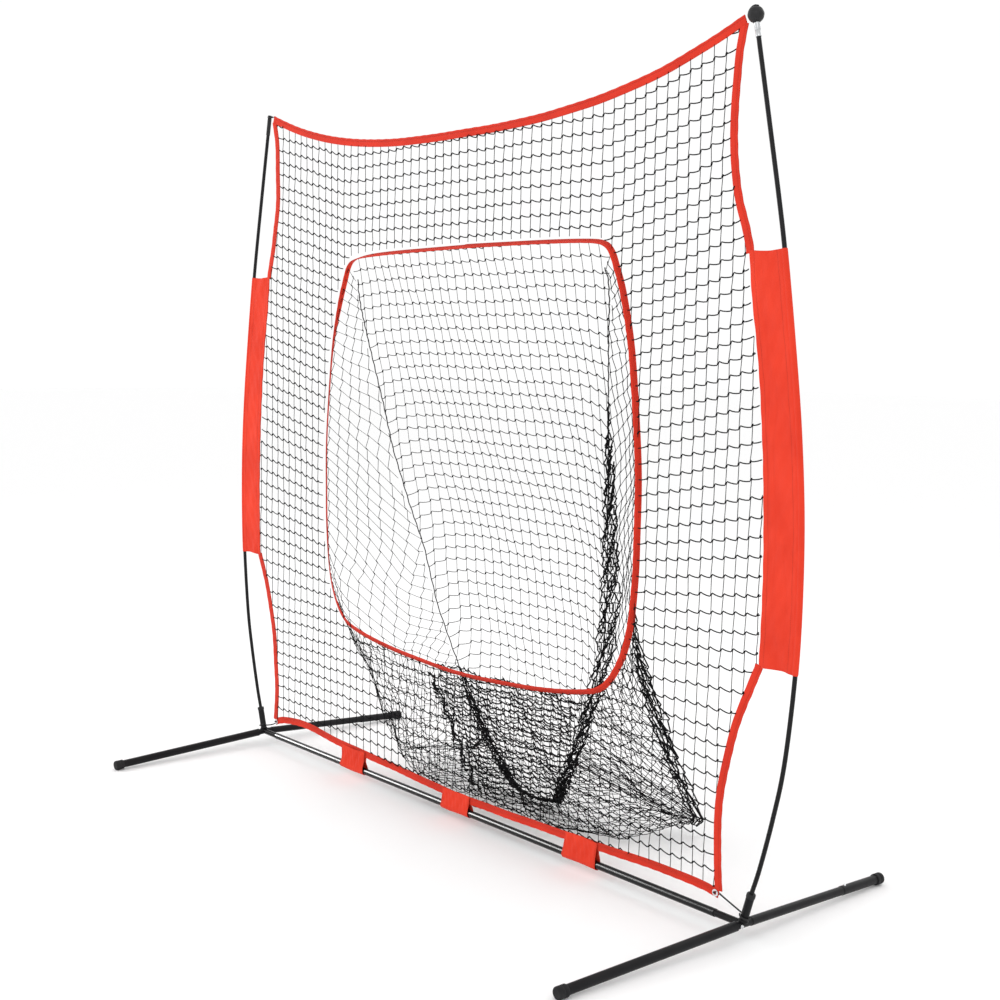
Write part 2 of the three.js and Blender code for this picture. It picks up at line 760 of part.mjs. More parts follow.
// The pocket as a thin shell: a side net from the mouth over the fold to the seam, and a back net
// across the seam, thickened to both sides.
function pocketNet() {
  const mouth = fullLoop(HOLE.map(([x, z]) => [x, TAPE_T / 2 + POCKET_T / 2 + 1, z]));
  const fold = fullLoop(FOLD);
  const seam = fullLoop(SEAM);
  const n = mouth.length;
  const sideMiddle = fold.map((v, i) => v.clone().lerp(seam[i], 0.5));
  const rings = [mouth, frontLoop(mouth, fold), fold, sideMiddle, seam];
  const points = rings.flat();
  const faces = [];
  for (let r = 0; r + 1 < rings.length; r++) {
    for (let i = 0; i < n; i++) {
      const j = (i + 1) % n;
      const [a, b, c, d] = [r * n + i, r * n + j, (r + 1) * n + j, (r + 1) * n + i];
      faces.push([a, b, c], [a, c, d]);
    }
  }
  const last = (rings.length - 1) * n;
  const columns = 6;
  const rows = [];
  for (let i = 0; i <= n / 2; i++) {
    const left = last + ((n - i) % n);
    const right = last + i;
    const row = [left];
    if (i > 0 && i < n / 2) {
      const deep = BACK_BULGE * Math.sin((Math.PI * Math.min(i, 15)) / 30);
      for (let k = 1; k < columns; k++) {
        const t = k / columns;
        const p = points[left].clone().lerp(points[right], t);
        p.y += deep * 4 * t * (1 - t);
        row.push(points.length);
        points.push(p);
      }
      row.push(right);
    }
    rows.push(row);
  }
  for (let i = 0; i + 1 < rows.length; i++) {
    const [a, b] = [rows[i], rows[i + 1]];
    for (let k = 0; k < columns; k++) {
      const [a0, a1] = a.length === 1 ? [a[0], a[0]] : [a[k], a[k + 1]];
      const [b0, b1] = b.length === 1 ? [b[0], b[0]] : [b[k], b[k + 1]];
      if (a0 !== a1) faces.push([a0, a1, b1]);
      if (b0 !== b1) faces.push([a0, b1, b0]);
    }
  }
  return thickened(points, faces, mouth.length, POCKET_T);
}

// Moves a surface half its thickness to both sides and closes it round its rim, the first points.
function thickened(points, faces, rim, thickness) {
  const normals = points.map(() => new THREE.Vector3());
  for (const [a, b, c] of faces) {
    const u = points[b].clone().sub(points[a]);
    const v = points[c].clone().sub(points[a]);
    const normal = u.cross(v);
    for (const i of [a, b, c]) normals[i].add(normal);
  }
  const count = points.length;
  const position = [];
  for (const sign of [1, -1]) {
    points.forEach((p, i) => {
      const q = p.clone().addScaledVector(normals[i].normalize(), (sign * thickness) / 2);
      position.push(q.x, q.y, q.z);
    });
  }
  const index = [];
  for (const [a, b, c] of faces) index.push(a, b, c, count + a, count + c, count + b);
  for (let i = 0; i < rim; i++) {
    const j = (i + 1) % rim;
    index.push(i, count + i, count + j, i, count + j, j);
  }
  const g = new THREE.BufferGeometry();
  g.setAttribute("position", new THREE.Float32BufferAttribute(position, 3));
  g.setIndex(index);
  return outward(g);
}

// A strap: a strip that hangs in front of the bottom tape, runs under the crossbar and comes back up
// behind the tape.
function strapGeometry(centreX) {
  const top = centreX === 0 ? 86 : 97;
  const r = CROSSBAR_R + 0.6 + STRAP_T / 2;
  const hang = TAPE_T / 2 + 0.6 + STRAP_T / 2;
  const line = [new THREE.Vector2(-hang, top), new THREE.Vector2(-hang, HUB_Z + 26)];
  for (let k = 0; k <= 16; k++) {
    const a = Math.PI * (0.86 + (1.28 * k) / 16);
    line.push(new THREE.Vector2(r * Math.cos(a), HUB_Z + r * Math.sin(a)));
  }
  line.push(new THREE.Vector2(hang, HUB_Z + 26), new THREE.Vector2(hang, top - 4));
  const shape = new THREE.Shape([
    ...shifted(line, STRAP_T / 2),
    ...shifted(line, -STRAP_T / 2).reverse(),
  ]);
  const g = new THREE.ExtrudeGeometry(shape, { depth: STRAP_WIDE, bevelEnabled: false });
  g.translate(0, 0, -STRAP_WIDE / 2);
  g.applyMatrix4(new THREE.Matrix4().makeBasis(
    new THREE.Vector3(0, 1, 0),
    new THREE.Vector3(0, 0, 1),
    new THREE.Vector3(1, 0, 0),
  ));
  g.translate(centreX, 0, 0);
  return outward(mergeVertices(g.deleteAttribute("normal").deleteAttribute("uv"), 1e-4));
}

// ---------------------------------------------------------------- assembly
const root = new THREE.Group();
root.name = "pitching_target_net";

const paint = {
  steel: material(0x121214, 0.35, 0.6),
  frontSteel: material(0x17171a, 0.45, 0.5),
  plastic: material(0x1c1c1e, 0.6, 0),
  rubber: material(0x151517, 0.8, 0),
  chrome: material(0xc9ccd0, 0.25, 1),
  ferrule: material(0xd4d6d8, 0.3, 1),
  fibre: material(0x101012, 0.4, 0),
  red: material(0xe8412c, 0.75, 0),
  net: material(0x0c0c0d, 0.9, 0),
  black: material(0x111112, 0.85, 0),
};

const right = new THREE.Group();
right.name = "right_side";
right.add(...sideParts("right", paint), ...rightTop(paint));
const left = new THREE.Group();
left.name = "left_side";
left.scale.x = -1;
left.add(...sideParts("left", paint), ...leftTop(paint));
root.add(right, left);

const crossbarHoles = [1, -1].map((s) =>
  toSolid(rod(BUTTON_HOLE_R, 0, 30, 16), along(
    new THREE.Vector3(s * CROSSBAR_BUTTON_AT, 0, HUB_Z),
    crossbarButtonFacing(s),
  )));
const crossbarTube = toSolid(
  pipe(CROSSBAR_BORE, CROSSBAR_R, -CROSSBAR_END, CROSSBAR_END),
  along(new THREE.Vector3(0, 0, HUB_Z), new THREE.Vector3(1, 0, 0)),
);
const crossbar = new THREE.Mesh(
  toGeometry(crossbarTube.subtract(crossbarHoles[0]).subtract(crossbarHoles[1])),
  paint.steel,
);
crossbar.name = "crossbar";
root.add(crossbar);

const nets = new THREE.Group();
nets.name = "net";
for (const [name, geometry, mat] of [
  ["net_panel", netPanel(), paint.net],
  ["pocket_net", pocketNet(), paint.net],
  ["top_tape", topTape(), paint.red],
  ["bottom_tape", bottomTape(), paint.red],
  ["hole_tape", holeTape(), paint.red],
  ["strap_left", strapGeometry(-STRAP_X), paint.red],
  ["strap_middle", strapGeometry(0), paint.red],
  ["strap_right", strapGeometry(STRAP_X), paint.red],
]) {
  const mesh = new THREE.Mesh(geometry, mat);
  mesh.name = name;
  nets.add(mesh);
}
root.add(nets);

export default root;
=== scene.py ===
"""A portable ball-stopping net: a bow frame on two feet, a square-mesh net with a bound target hole,
and a net pocket that hangs behind it. Metres, +Z up, -Y the front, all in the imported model's frame."""

import bpy
import numpy as np
from mathutils import Matrix, Quaternion, Vector


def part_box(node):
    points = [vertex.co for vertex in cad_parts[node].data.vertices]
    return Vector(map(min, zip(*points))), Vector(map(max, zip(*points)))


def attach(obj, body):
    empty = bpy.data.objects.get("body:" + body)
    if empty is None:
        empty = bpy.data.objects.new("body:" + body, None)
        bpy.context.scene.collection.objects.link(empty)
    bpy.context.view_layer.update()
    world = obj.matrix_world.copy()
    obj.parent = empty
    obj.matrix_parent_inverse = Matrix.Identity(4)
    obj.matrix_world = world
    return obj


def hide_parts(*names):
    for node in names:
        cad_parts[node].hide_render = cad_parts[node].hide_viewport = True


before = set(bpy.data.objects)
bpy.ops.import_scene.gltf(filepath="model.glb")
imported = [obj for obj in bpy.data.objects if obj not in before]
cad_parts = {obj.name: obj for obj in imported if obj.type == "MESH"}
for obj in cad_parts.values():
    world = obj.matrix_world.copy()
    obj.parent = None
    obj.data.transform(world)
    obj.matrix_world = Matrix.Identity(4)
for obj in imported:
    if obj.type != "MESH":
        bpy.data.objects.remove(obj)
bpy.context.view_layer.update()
random = np.random.default_rng(11)

# ---------------------------------------------------------------- driving sizes
HUB = np.array([1.088, 0.0, 0.037])
FOOT_END = np.array([1.066, 0.557, 0.01512])
SOCKET_TILT = np.radians(17)
POLE_R = 0.0055
CROSSBAR_R = 0.010
BALL = np.array([1.0438, 0.0, 2.114])
BALL_R = 0.019
POLE_TOP = np.array([1.051, 0.0, 2.078])
TIP_TOP = np.array([1.0416, 0.0, 2.125])
POLE_CURVE = [
    (1.134, 0.182), (1.167, 0.306), (1.195, 0.439), (1.216, 0.632), (1.223, 0.803), (1.220, 1.000),
    (1.204, 1.197), (1.178, 1.394), (1.148, 1.591), (1.126, 1.710), (1.098, 1.848), (1.070, 1.985),
    (1.059, 2.038),
]

TAPE = 0.023  # width of the tape that binds the outer edges
HOLE_TAPE = 0.018
TAPE_HOLD = 0.0090  # how far from a tape's centre line the twine ends
HOLE_HOLD = 0.0075
HOLE_TURN = np.radians(47)
TWIST_AT = 4.06  # distance round the hole, from the top centre by way of the right
PITCH = 0.0385  # of the square mesh
TWINE_R = 0.0011
CORNER_TOP = (1.015, 2.109)
TOP_MID_Z = 1.962
CORNER_BOTTOM = (1.011, 0.086)
UPPER_SIDE = [
    (1.010, 2.090), (0.998, 2.035), (0.993, 1.966), (0.990, 1.887), (0.991, 1.838), (0.997, 1.788),
    (1.013, 1.710), (1.033, 1.650), (1.046, 1.606),
]
LOWER_SIDE = [
    (1.110, 0.646), (1.100, 0.626), (1.084, 0.590), (1.069, 0.557), (1.047, 0.498), (1.028, 0.429),
    (1.015, 0.370), (1.007, 0.311), (1.003, 0.232), (1.005, 0.163), (1.010, 0.108),
]
BOTTOM_EDGE = [
    (-0.960, 0.101), (-0.870, 0.112), (-0.800, 0.113), (-0.706, 0.106), (-0.583, 0.097), (-0.407, 0.090),
    (-0.230, 0.084), (0, 0.075), (0.230, 0.077), (0.443, 0.084), (0.640, 0.089), (0.852, 0.095),
    (0.960, 0.093),
]
SLEEVE = [  # height, inner edge x
    (0.650, 1.112), (0.754, 1.115), (0.852, 1.116), (0.951, 1.114), (1.099, 1.107), (1.197, 1.099),
    (1.296, 1.089), (1.394, 1.075), (1.493, 1.058), (1.598, 1.046),
]
# The pocket, right half, from top centre to bottom centre: its mouth (x, z), the fold of its side net
# and the seam that joins the side net to the back net (x, y, z).
MOUTH = [
    (0, 1.655), (0.180, 1.654), (0.357, 1.652), (0.507, 1.647), (0.566, 1.638), (0.594, 1.616),
    (0.612, 1.580), (0.640, 1.508), (0.673, 1.372), (0.697, 1.178), (0.707, 1.050), (0.707, 0.921),
    (0.704, 0.796), (0.688, 0.667), (0.655, 0.578), (0.598, 0.508), (0.515, 0.478), (0.344, 0.453),
    (0.111, 0.437), (0, 0.434),
]
FOLD = [
    (0, 0.011, 1.634), (0.180, 0.011, 1.634), (0.355, 0.011, 1.633), (0.500, 0.011, 1.628),
    (0.552, 0.012, 1.620), (0.578, 0.013, 1.598), (0.594, 0.018, 1.565), (0.612, 0.024, 1.500),
    (0.630, 0.036, 1.368), (0.640, 0.047, 1.175), (0.645, 0.048, 1.046), (0.652, 0.042, 0.925),
    (0.666, 0.034, 0.790), (0.660, 0.060, 0.622), (0.622, 0.170, 0.450), (0.582, 0.290, 0.270),
    (0.512, 0.488, 0.034), (0.450, 0.250, 0.008), (0.250, 0.190, 0.008), (0, 0.195, 0.008),
]
# The pocket's front line, between its mouth and its fold, from where the two sides differ.
FRONT_FROM = 13
FRONT = {
    "right": [
        (0.680, 0.032, 0.625), (0.648, 0.085, 0.490), (0.600, 0.130, 0.350), (0.550, 0.210, 0.170),
        (0.400, 0.190, 0.050), (0.200, 0.110, 0.020), (0, 0.085, 0.012),
    ],
    "left": [
        (0.676, 0.030, 0.600), (0.630, 0.045, 0.480), (0.560, 0.075, 0.330), (0.500, 0.135, 0.100),
        (0.370, 0.115, 0.030), (0.190, 0.090, 0.015), (0, 0.085, 0.012),
    ],
}
SEAM = [
    (0, 0.018, 1.612), (0.175, 0.018, 1.612), (0.345, 0.018, 1.611), (0.485, 0.018, 1.607),
    (0.530, 0.019, 1.600), (0.552, 0.022, 1.576), (0.560, 0.028, 1.545), (0.557, 0.036, 1.490),
    (0.540, 0.052, 1.390), (0.508, 0.088, 1.195), (0.487, 0.113, 1.048), (0.450, 0.150, 0.880),
    (0.418, 0.185, 0.745), (0.380, 0.212, 0.560), (0.326, 0.232, 0.428), (0.266, 0.246, 0.310),
    (0.197, 0.266, 0.182), (0.132, 0.286, 0.084), (0.090, 0.306, 0.022), (0, 0.308, 0.008),
]
BACK_BULGE = 0.060
STRAP_X = 0.532
STRAP_WIDE = 0.130
CORD_R = 0.002
LOOP_R = 0.0015
GROMMET = (1.003, 0.087)

SIDES = (("left", -1.0), ("right", 1.0))


# ---------------------------------------------------------------- camera, light and floor
def aim_camera():
    """A three-quarter view from the front right, a little above the hole, with a slight roll."""
    data = bpy.data.cameras.new("camera")
    data.lens = 52.88
    data.sensor_width = 36
    camera = bpy.data.objects.new("camera", data)
    camera.location = (3.2725, -2.5672, 1.3662)
    turn = Vector((-0.76569, 0.63509, -0.10192)).to_track_quat("-Z", "Y")
    camera.rotation_euler = (turn @ Quaternion((0, 0, 1), 0.014)).to_euler()
    bpy.context.scene.collection.objects.link(camera)
    bpy.context.scene.camera = camera


def area_light(name, place, target, size, power, long_way=(1, 0, 0)):
    """A rectangular lamp; size is its length, which lies along long_way, and its height."""
    data = bpy.data.lights.new(name, "AREA")
    data.shape = "RECTANGLE"
    data.size, data.size_y = size
    data.energy = power
    light = bpy.data.objects.new(name, data)
    back = (Vector(place) - Vector(target)).normalized()
    along = (Vector(long_way) - back * back.dot(Vector(long_way))).normalized()
    light.rotation_euler = Matrix((along, back.cross(along), back)).transposed().to_euler()
    light.location = place
    bpy.context.scene.collection.objects.link(light)
    return light


def tube_light(receivers):
    """A tall soft lamp that draws a highlight along the cross tube and reaches nothing else."""
    light = area_light("tube", (-5.0, -2.7, 2.48), (-0.7, 0.2, 0.0), (3.2, 2.4), 950, (-0.96, 0.27, -0.1))
    only = bpy.data.collections.new("tube_light_receivers")
    for receiver in receivers:
        only.objects.link(receiver)
    light.light_linking.receiver_collection = only


def light_studio():
    world = bpy.data.worlds.new("studio")
    bpy.context.scene.world = world
    world.use_nodes = True
    background = world.node_tree.nodes["Background"]
    background.inputs["Color"].default_value = (1.0, 1.0, 1.0, 1.0)
    background.inputs["Strength"].default_value = 1.02
    area_light("key", (-4.4, -3.1, 2.7), (0, 0, 0.3), (3.0, 1.5), 60)
    area_light("fill", (3.5, -3.5, 3.5), (0.3, 0, 0.9), (2.4, 2.4), 30)
    area_light("back", (1.0, 4.5, 4.0), (0, 0, 0.8), (2.4, 2.4), 25)
    bpy.context.scene.view_settings.view_transform = "Standard"


# ---------------------------------------------------------------- meshes from arrays
def make_piece(name, points, faces, material, uv=None, smooth=True, sharp=None):
    """A mesh from an array of points and a list of face arrays, each with its own count of corners.
    uv holds one pair of lengths for each point."""
    mesh = bpy.data.meshes.new(name)
    corners = np.concatenate([f.ravel() for f in faces]).astype(np.int32)
    counts = np.concatenate([np.full(len(f), f.shape[1]) for f in faces])
    mesh.vertices.add(len(points))
    mesh.vertices.foreach_set("co", np.asarray(points, np.float32).ravel())
    mesh.loops.add(len(corners))
    mesh.loops.foreach_set("vertex_index", corners)
    mesh.polygons.add(len(counts))
    mesh.polygons.foreach_set("loop_start", (np.cumsum(counts) - counts).astype(np.int32))
    mesh.polygons.foreach_set("use_smooth", np.full(len(counts), smooth))
    if uv is not None:
        layer = mesh.uv_layers.new(name="UVMap")
        layer.data.foreach_set("uv", np.asarray(uv, np.float32)[corners].ravel())
    mesh.update(calc_edges=True)
    if sharp is not None:
        mesh.set_sharp_from_angle(angle=np.radians(sharp))
    mesh.materials.append(material)
    obj = bpy.data.objects.new(name, mesh)
    bpy.context.scene.collection.objects.link(obj)
    return obj


def grid_faces(rows, columns, wrap=False):
    """The four-cornered faces between the rows and columns of a grid of points."""
    r, c = np.meshgrid(np.arange(rows - 1), np.arange(columns if wrap else columns - 1), indexing="ij")
    d = (c + 1) % columns
    below, above = r * columns, (r + 1) * columns
    return np.stack([below + c, below + d, above + d, above + c], -1).reshape(-1, 4)


def unit(v):
    return v / np.maximum(np.linalg.norm(v, axis=-1, keepdims=True), 1e-12)


def cross_frames(path, reference):
    """The tangent, and two directions across it: reference made square to it, and their product."""
    tangent = unit(np.gradient(path, axis=0))
    first = unit(reference - (tangent * reference).sum(-1, keepdims=True) * tangent)
    return tangent, first, np.cross(tangent, first)


def swept(name, path, first, second, section, material, sharp=40):
    """A closed section (a, b), carried along a path: path + a * first + b * second, its ends filled."""
    section = np.broadcast_to(section, (len(path),) + np.shape(section)[-2:])
    grid = path[:, None] + section[..., :1] * first[:, None] + section[..., 1:] * second[:, None]
    rows, columns = grid.shape[:2]
    faces = [grid_faces(rows, columns, wrap=True)]
    last = (rows - 1) * columns
    faces += [np.arange(columns)[None, ::-1], np.arange(columns)[None] + last]
    along = np.concatenate([[0], np.cumsum(np.linalg.norm(np.diff(path, axis=0), axis=1))])
    round_it = np.concatenate([[0], np.cumsum(np.linalg.norm(np.diff(section[0], axis=0), axis=1))])
    uv = np.stack(np.broadcast_arrays(along[:, None], round_it[None]), -1).reshape(-1, 2)
    obj = make_piece(name, grid.reshape(-1, 3), faces, material, uv, sharp=sharp)
    return facing_out(obj)


def facing_out(obj):
    """Turns the faces of a closed mesh outward if its signed volume is negative."""
    mesh = obj.data
    mesh.calc_loop_triangles()
    co = np.empty(len(mesh.vertices) * 3, np.float32)
    mesh.vertices.foreach_get("co", co)
    tri = np.empty(len(mesh.loop_triangles) * 3, np.int32)
    mesh.loop_triangles.foreach_get("vertices", tri)
    p = co.reshape(-1, 3)[tri.reshape(-1, 3)].astype(float)
    if np.einsum("ij,ij->i", p[:, 0], np.cross(p[:, 1], p[:, 2])).sum() < 0:
        mesh.flip_normals()
    return obj


def round_section(radius, sides=20):
    angle = np.linspace(0, 2 * np.pi, sides, endpoint=False)
    return radius * np.stack([np.cos(angle), np.sin(angle)], -1)


def bar(name, path, radius, reference, material, sides=20):
    """A round bar along a path, its ends filled flat."""
    path = np.asarray(path, float)
    _, first, second = cross_frames(path, np.asarray(reference, float))
    return swept(name, path, first, second, round_section(radius, sides), material, sharp=60)


def turned(name, origin, direction, profile, material, sides=40, sharp=35):
    """A body of revolution: each (height, radius) of the profile, turned about a direction.
    A profile that starts and ends off the axis is a ring and closes on itself."""
    profile = np.asarray(profile, float)
    ring = profile[0, 1] > 0
    axis = unit(np.asarray(direction, float))
    helper = np.array([0.0, 1.0, 0.0]) if abs(axis[1]) < 0.9 else np.array([1.0, 0.0, 0.0])
    first = unit(np.cross(axis, helper))
    second = np.cross(axis, first)
    angle = np.linspace(0, 2 * np.pi, sides, endpoint=False)
    spoke = np.cos(angle)[:, None] * first + np.sin(angle)[:, None] * second
    body = profile if ring else profile[1:-1]
    grid = np.asarray(origin) + body[:, None, :1] * axis + body[:, None, 1:] * spoke[None]
    rows = len(body)
    points = grid.reshape(-1, 3)
    if ring:
        faces = [grid_faces(rows, sides, wrap=True)]
        c = np.arange(sides)
        d = (c + 1) % sides
        last = (rows - 1) * sides
        faces.append(np.stack([last + c, last + d, d, c], -1))
    else:
        poles = np.asarray(origin) + profile[[0, -1], :1] * axis
        points = np.concatenate([points, poles])
        c = np.arange(sides)
        d = (c + 1) % sides
        low, high, last = rows * sides, rows * sides + 1, (rows - 1) * sides
        faces = [
            grid_faces(rows, sides, wrap=True),
            np.stack([d, c, np.full(sides, low)], -1),
            np.stack([last + c, last + d, np.full(sides, high)], -1),
        ]
    return facing_out(make_piece(name, points, faces, material, sharp=sharp))


def curve_through(points, count, closed=False):
    """A Catmull-Rom curve through points, given again as count evenly spaced points."""
    p = np.asarray(points, float)
    if closed:
        p = np.concatenate([p[-1:], p, p[:2]])
    else:
        p = np.concatenate([2 * p[:1] - p[1:2], p, 2 * p[-1:] - p[-2:-1]])
    t = np.linspace(0, 1, 16, endpoint=False)[None, :, None]
    a, b, c, d = (p[k : len(p) - 3 + k, None] for k in range(4))
    spans = 0.5 * (2 * b + (c - a) * t + (2 * a - 5 * b + 4 * c - d) * t**2 + (3 * b - a - 3 * c + d) * t**3)
    line = np.concatenate([spans.reshape(-1, p.shape[1]), p[-2:-1]])
    step = np.linalg.norm(np.diff(line, axis=0), axis=1)
    along = np.concatenate([[0], np.cumsum(step)])
    at = np.linspace(0, along[-1], count, endpoint=not closed)
    return np.stack([np.interp(at, along, line[:, k]) for k in range(p.shape[1])], -1)


def mirrored(points, side):
    return np.asarray(points, float) * np.array([side, 1.0, 1.0])


def lifted(line, y=0.0):
    """(x, z) pairs as points of the upright plane at y."""
    return np.stack([line[:, 0], np.full(len(line), y), line[:, 1]], -1)


# ---------------------------------------------------------------- materials
def new_material(name):
    material = bpy.data.materials.new(name)
    material.use_nodes = True
    return material, material.node_tree, material.node_tree.nodes["Principled BSDF"]


def add_node(tree, kind, inputs=None, **settings):
    node = tree.nodes.new(kind)
    for key, value in settings.items():
        setattr(node, key, value)
    for key, value in (inputs or {}).items():
        if isinstance(value, bpy.types.NodeSocket):
            tree.links.new(value, node.inputs[key])
        else:
            node.inputs[key].default_value = value
    return node


def object_coordinates(tree):
    return add_node(tree, "ShaderNodeTexCoord").outputs["Object"]


def mottled(tree, coordinates, scale, low, high, detail=4.0):
    """Noise turned into a value from low to high."""
    noise = add_node(tree, "ShaderNodeTexNoise", {"Vector": coordinates, "Scale": scale, "Detail": detail})
    ranged = add_node(
        tree, "ShaderNodeMapRange",
        {"Value": noise.outputs["Fac"], "From Min": 0.3, "From Max": 0.7, "To Min": low, "To Max": high})
    return ranged.outputs["Result"]


def shade_between(tree, factor, dark, light):
    mix = add_node(tree, "ShaderNodeMix", {"Factor": factor}, data_type="RGBA")
    mix.inputs["A"].default_value = (*dark, 1.0)
    mix.inputs["B"].default_value = (*light, 1.0)
    return mix.outputs["Result"]


def bump(tree, height, strength, distance, below=None):
    inputs = {"Height": height, "Strength": strength, "Distance": distance}
    if below is not None:
        inputs["Normal"] = below
    return add_node(tree, "ShaderNodeBump", inputs).outputs["Normal"]


def powder_coat(name, dark, light, rough, shine):
    """Black powder coat with fine orange peel and slightly duller patches."""
    material, tree, shader = new_material(name)
    at = object_coordinates(tree)
    tree.links.new(shade_between(tree, mottled(tree, at, 22, 0, 1), dark, light), shader.inputs["Base Color"])
    tree.links.new(mottled(tree, at, 60, rough - 0.06, rough + 0.08), shader.inputs["Roughness"])
    tree.links.new(bump(tree, mottled(tree, at, 900, 0, 1, 2.0), 0.12, 0.0003), shader.inputs["Normal"])
    shader.inputs["Specular IOR Level"].default_value = shine
    return material


def moulded(name, dark, light, rough, grain):
    """Moulded rubber or plastic with a fine spark-eroded grain."""
    material, tree, shader = new_material(name)
    at = object_coordinates(tree)
    tree.links.new(shade_between(tree, mottled(tree, at, 35, 0, 1), dark, light), shader.inputs["Base Color"])
    tree.links.new(mottled(tree, at, 140, rough - 0.05, rough + 0.07), shader.inputs["Roughness"])
    tree.links.new(bump(tree, mottled(tree, at, grain, 0, 1, 3.0), 0.25, 0.0002), shader.inputs["Normal"])
    shader.inputs["Specular IOR Level"].default_value = 0.25
    return material


def plated(name, colour, rough):
    """Bright plated steel with faint turning marks and handling scuffs."""
    material, tree, shader = new_material(name)
    at = object_coordinates(tree)
    shader.inputs["Metallic"].default_value = 1.0
    worn = tuple(0.75 * c for c in colour)
    shade = shade_between(tree, mottled(tree, at, 180, 0, 1), worn, colour)
    tree.links.new(shade, shader.inputs["Base Color"])
    tree.links.new(mottled(tree, at, 400, rough - 0.05, rough + 0.12), shader.inputs["Roughness"])
    tree.links.new(bump(tree, mottled(tree, at, 1500, 0, 1, 2.0), 0.08, 0.0001), shader.inputs["Normal"])
    return material


def uv_axes(tree):
    """The piece's own lengths in metres: along it and across it."""
    uv = add_node(tree, "ShaderNodeUVMap", uv_map="UVMap").outputs["UV"]
    parts = add_node(tree, "ShaderNodeSeparateXYZ", {"Vector": uv})
    return uv, parts.outputs["X"], parts.outputs["Y"]


def math_node(tree, operation, a, b=None):
    node = add_node(tree, "ShaderNodeMath", operation=operation)
    for k, value in enumerate((a, b)):
        if value is None:
            continue
        if isinstance(value, bpy.types.NodeSocket):
            tree.links.new(value, node.inputs[k])
        else:
            node.inputs[k].default_value = value
    return node.outputs["Value"]


def waves(tree, along, pitch):
    """A rounded rib at each pitch: the absolute sine of the length."""
    phase = math_node(tree, "MULTIPLY", along, np.pi / pitch)
    return math_node(tree, "ABSOLUTE", math_node(tree, "SINE", phase))


def creases(tree, uv):
    """Fine wrinkle lines: 0 where slow, stretched noise passes its middle value, and 1 elsewhere.
    The cloth uses them for a bump and for painted shade that darkens its colour along the lines.
    """
    stretched = add_node(
        tree, "ShaderNodeMapping",
        {"Vector": uv, "Rotation": (0, 0, 0.7), "Scale": (3.0, 16.0, 1.0)})
    noise = add_node(
        tree, "ShaderNodeTexNoise",
        {"Vector": stretched.outputs["Vector"], "Scale": 1.0, "Detail": 2.5, "Distortion": 0.8})
    off = math_node(tree, "ABSOLUTE", math_node(tree, "SUBTRACT", noise.outputs["Fac"], 0.5))
    return add_node(tree, "ShaderNodeMapRange", {"Value": off, "From Max": 0.09}).outputs["Result"]


def cloth(name, dark, light, pitch, ribs=False, seams=()):
    """Woven cloth on the piece's own lengths: crossing yarns, slubs, faint creases whose lines are
    darkened by painted shade, and rows of lock-stitch at the given distances across it."""
    material, tree, shader = new_material(name)
    uv, along, across = uv_axes(tree)
    warp = waves(tree, along, pitch)
    weft = waves(tree, across, pitch * (3 if ribs else 1))
    weave = math_node(tree, "MAXIMUM", warp, math_node(tree, "MULTIPLY", weft, 0.35 if ribs else 0.9))
    crease = creases(tree, uv)
    blotch = mottled(tree, object_coordinates(tree), 9, 0, 1)
    fine = mottled(tree, uv, 700, 0, 1)
    broad = math_node(tree, "MULTIPLY", blotch, 0.45)
    tone = math_node(tree, "ADD", broad, math_node(tree, "MULTIPLY", fine, 0.3))
    tone = math_node(tree, "ADD", tone, math_node(tree, "MULTIPLY", weave, 0.25))
    # Painted shade: the colour is darkened by up to 18% along the crease lines, as shade lying in the
    # wrinkles.
    shade = math_node(tree, "ADD", math_node(tree, "MULTIPLY", crease, 0.18), 0.82)
    tone = math_node(tree, "MULTIPLY", tone, shade)
    colour = shade_between(tree, tone, dark, light)
    height = math_node(tree, "ADD", weave, math_node(tree, "MULTIPLY", fine, 0.3))
    normal = bump(tree, height, 0.45, 0.00025, bump(tree, crease, 0.5, 0.0012))
    for seam in seams:
        near = math_node(tree, "ABSOLUTE", math_node(tree, "SUBTRACT", across, seam))
        on_row = math_node(tree, "LESS_THAN", near, 0.0006)
        step = math_node(tree, "FRACT", math_node(tree, "DIVIDE", along, 0.0042))
        dash = math_node(tree, "LESS_THAN", step, 0.74)
        stitch = math_node(tree, "MULTIPLY", on_row, dash)
        furrow = math_node(tree, "MULTIPLY", math_node(tree, "LESS_THAN", near, 0.0022), -0.6)
        normal = bump(tree, math_node(tree, "ADD", stitch, furrow), 0.8, 0.0006, normal)
        share = math_node(tree, "MULTIPLY", stitch, 0.6)
        mix = add_node(tree, "ShaderNodeMix", {"Factor": share}, data_type="RGBA")
        tree.links.new(colour, mix.inputs["A"])
        mix.inputs["B"].default_value = (*(0.62 * c for c in dark), 1.0)
        colour = mix.outputs["Result"]
    tree.links.new(colour, shader.inputs["Base Color"])
    tree.links.new(normal, shader.inputs["Normal"])
    shader.inputs["Roughness"].default_value = 0.72
    shader.inputs["Sheen Weight"].default_value = 0.04
    shader.inputs["Sheen Roughness"].default_value = 0.45
    shader.inputs["Specular IOR Level"].default_value = 0.12
    return material


def twisted(name, dark, light, pitch, girth):
    """Twine or braid: strands that wind round the cord's own length, with a little fuzz."""
    material, tree, shader = new_material(name)
    uv, along, across = uv_axes(tree)
    turns = math_node(tree, "DIVIDE", along, pitch)
    winding = math_node(tree, "ADD", turns, math_node(tree, "DIVIDE", across, girth))
    strand = waves(tree, winding, 1 / 3)
    fuzz = mottled(tree, uv, 900, 0, 1)
    tone = math_node(tree, "MULTIPLY", math_node(tree, "ADD", strand, fuzz), 0.5)
    tree.links.new(shade_between(tree, tone, dark, light), shader.inputs["Base Color"])
    tree.links.new(bump(tree, strand, 0.6, 0.0003), shader.inputs["Normal"])
    shader.inputs["Roughness"].default_value = 0.8
    shader.inputs["Specular IOR Level"].default_value = 0.10
    return material


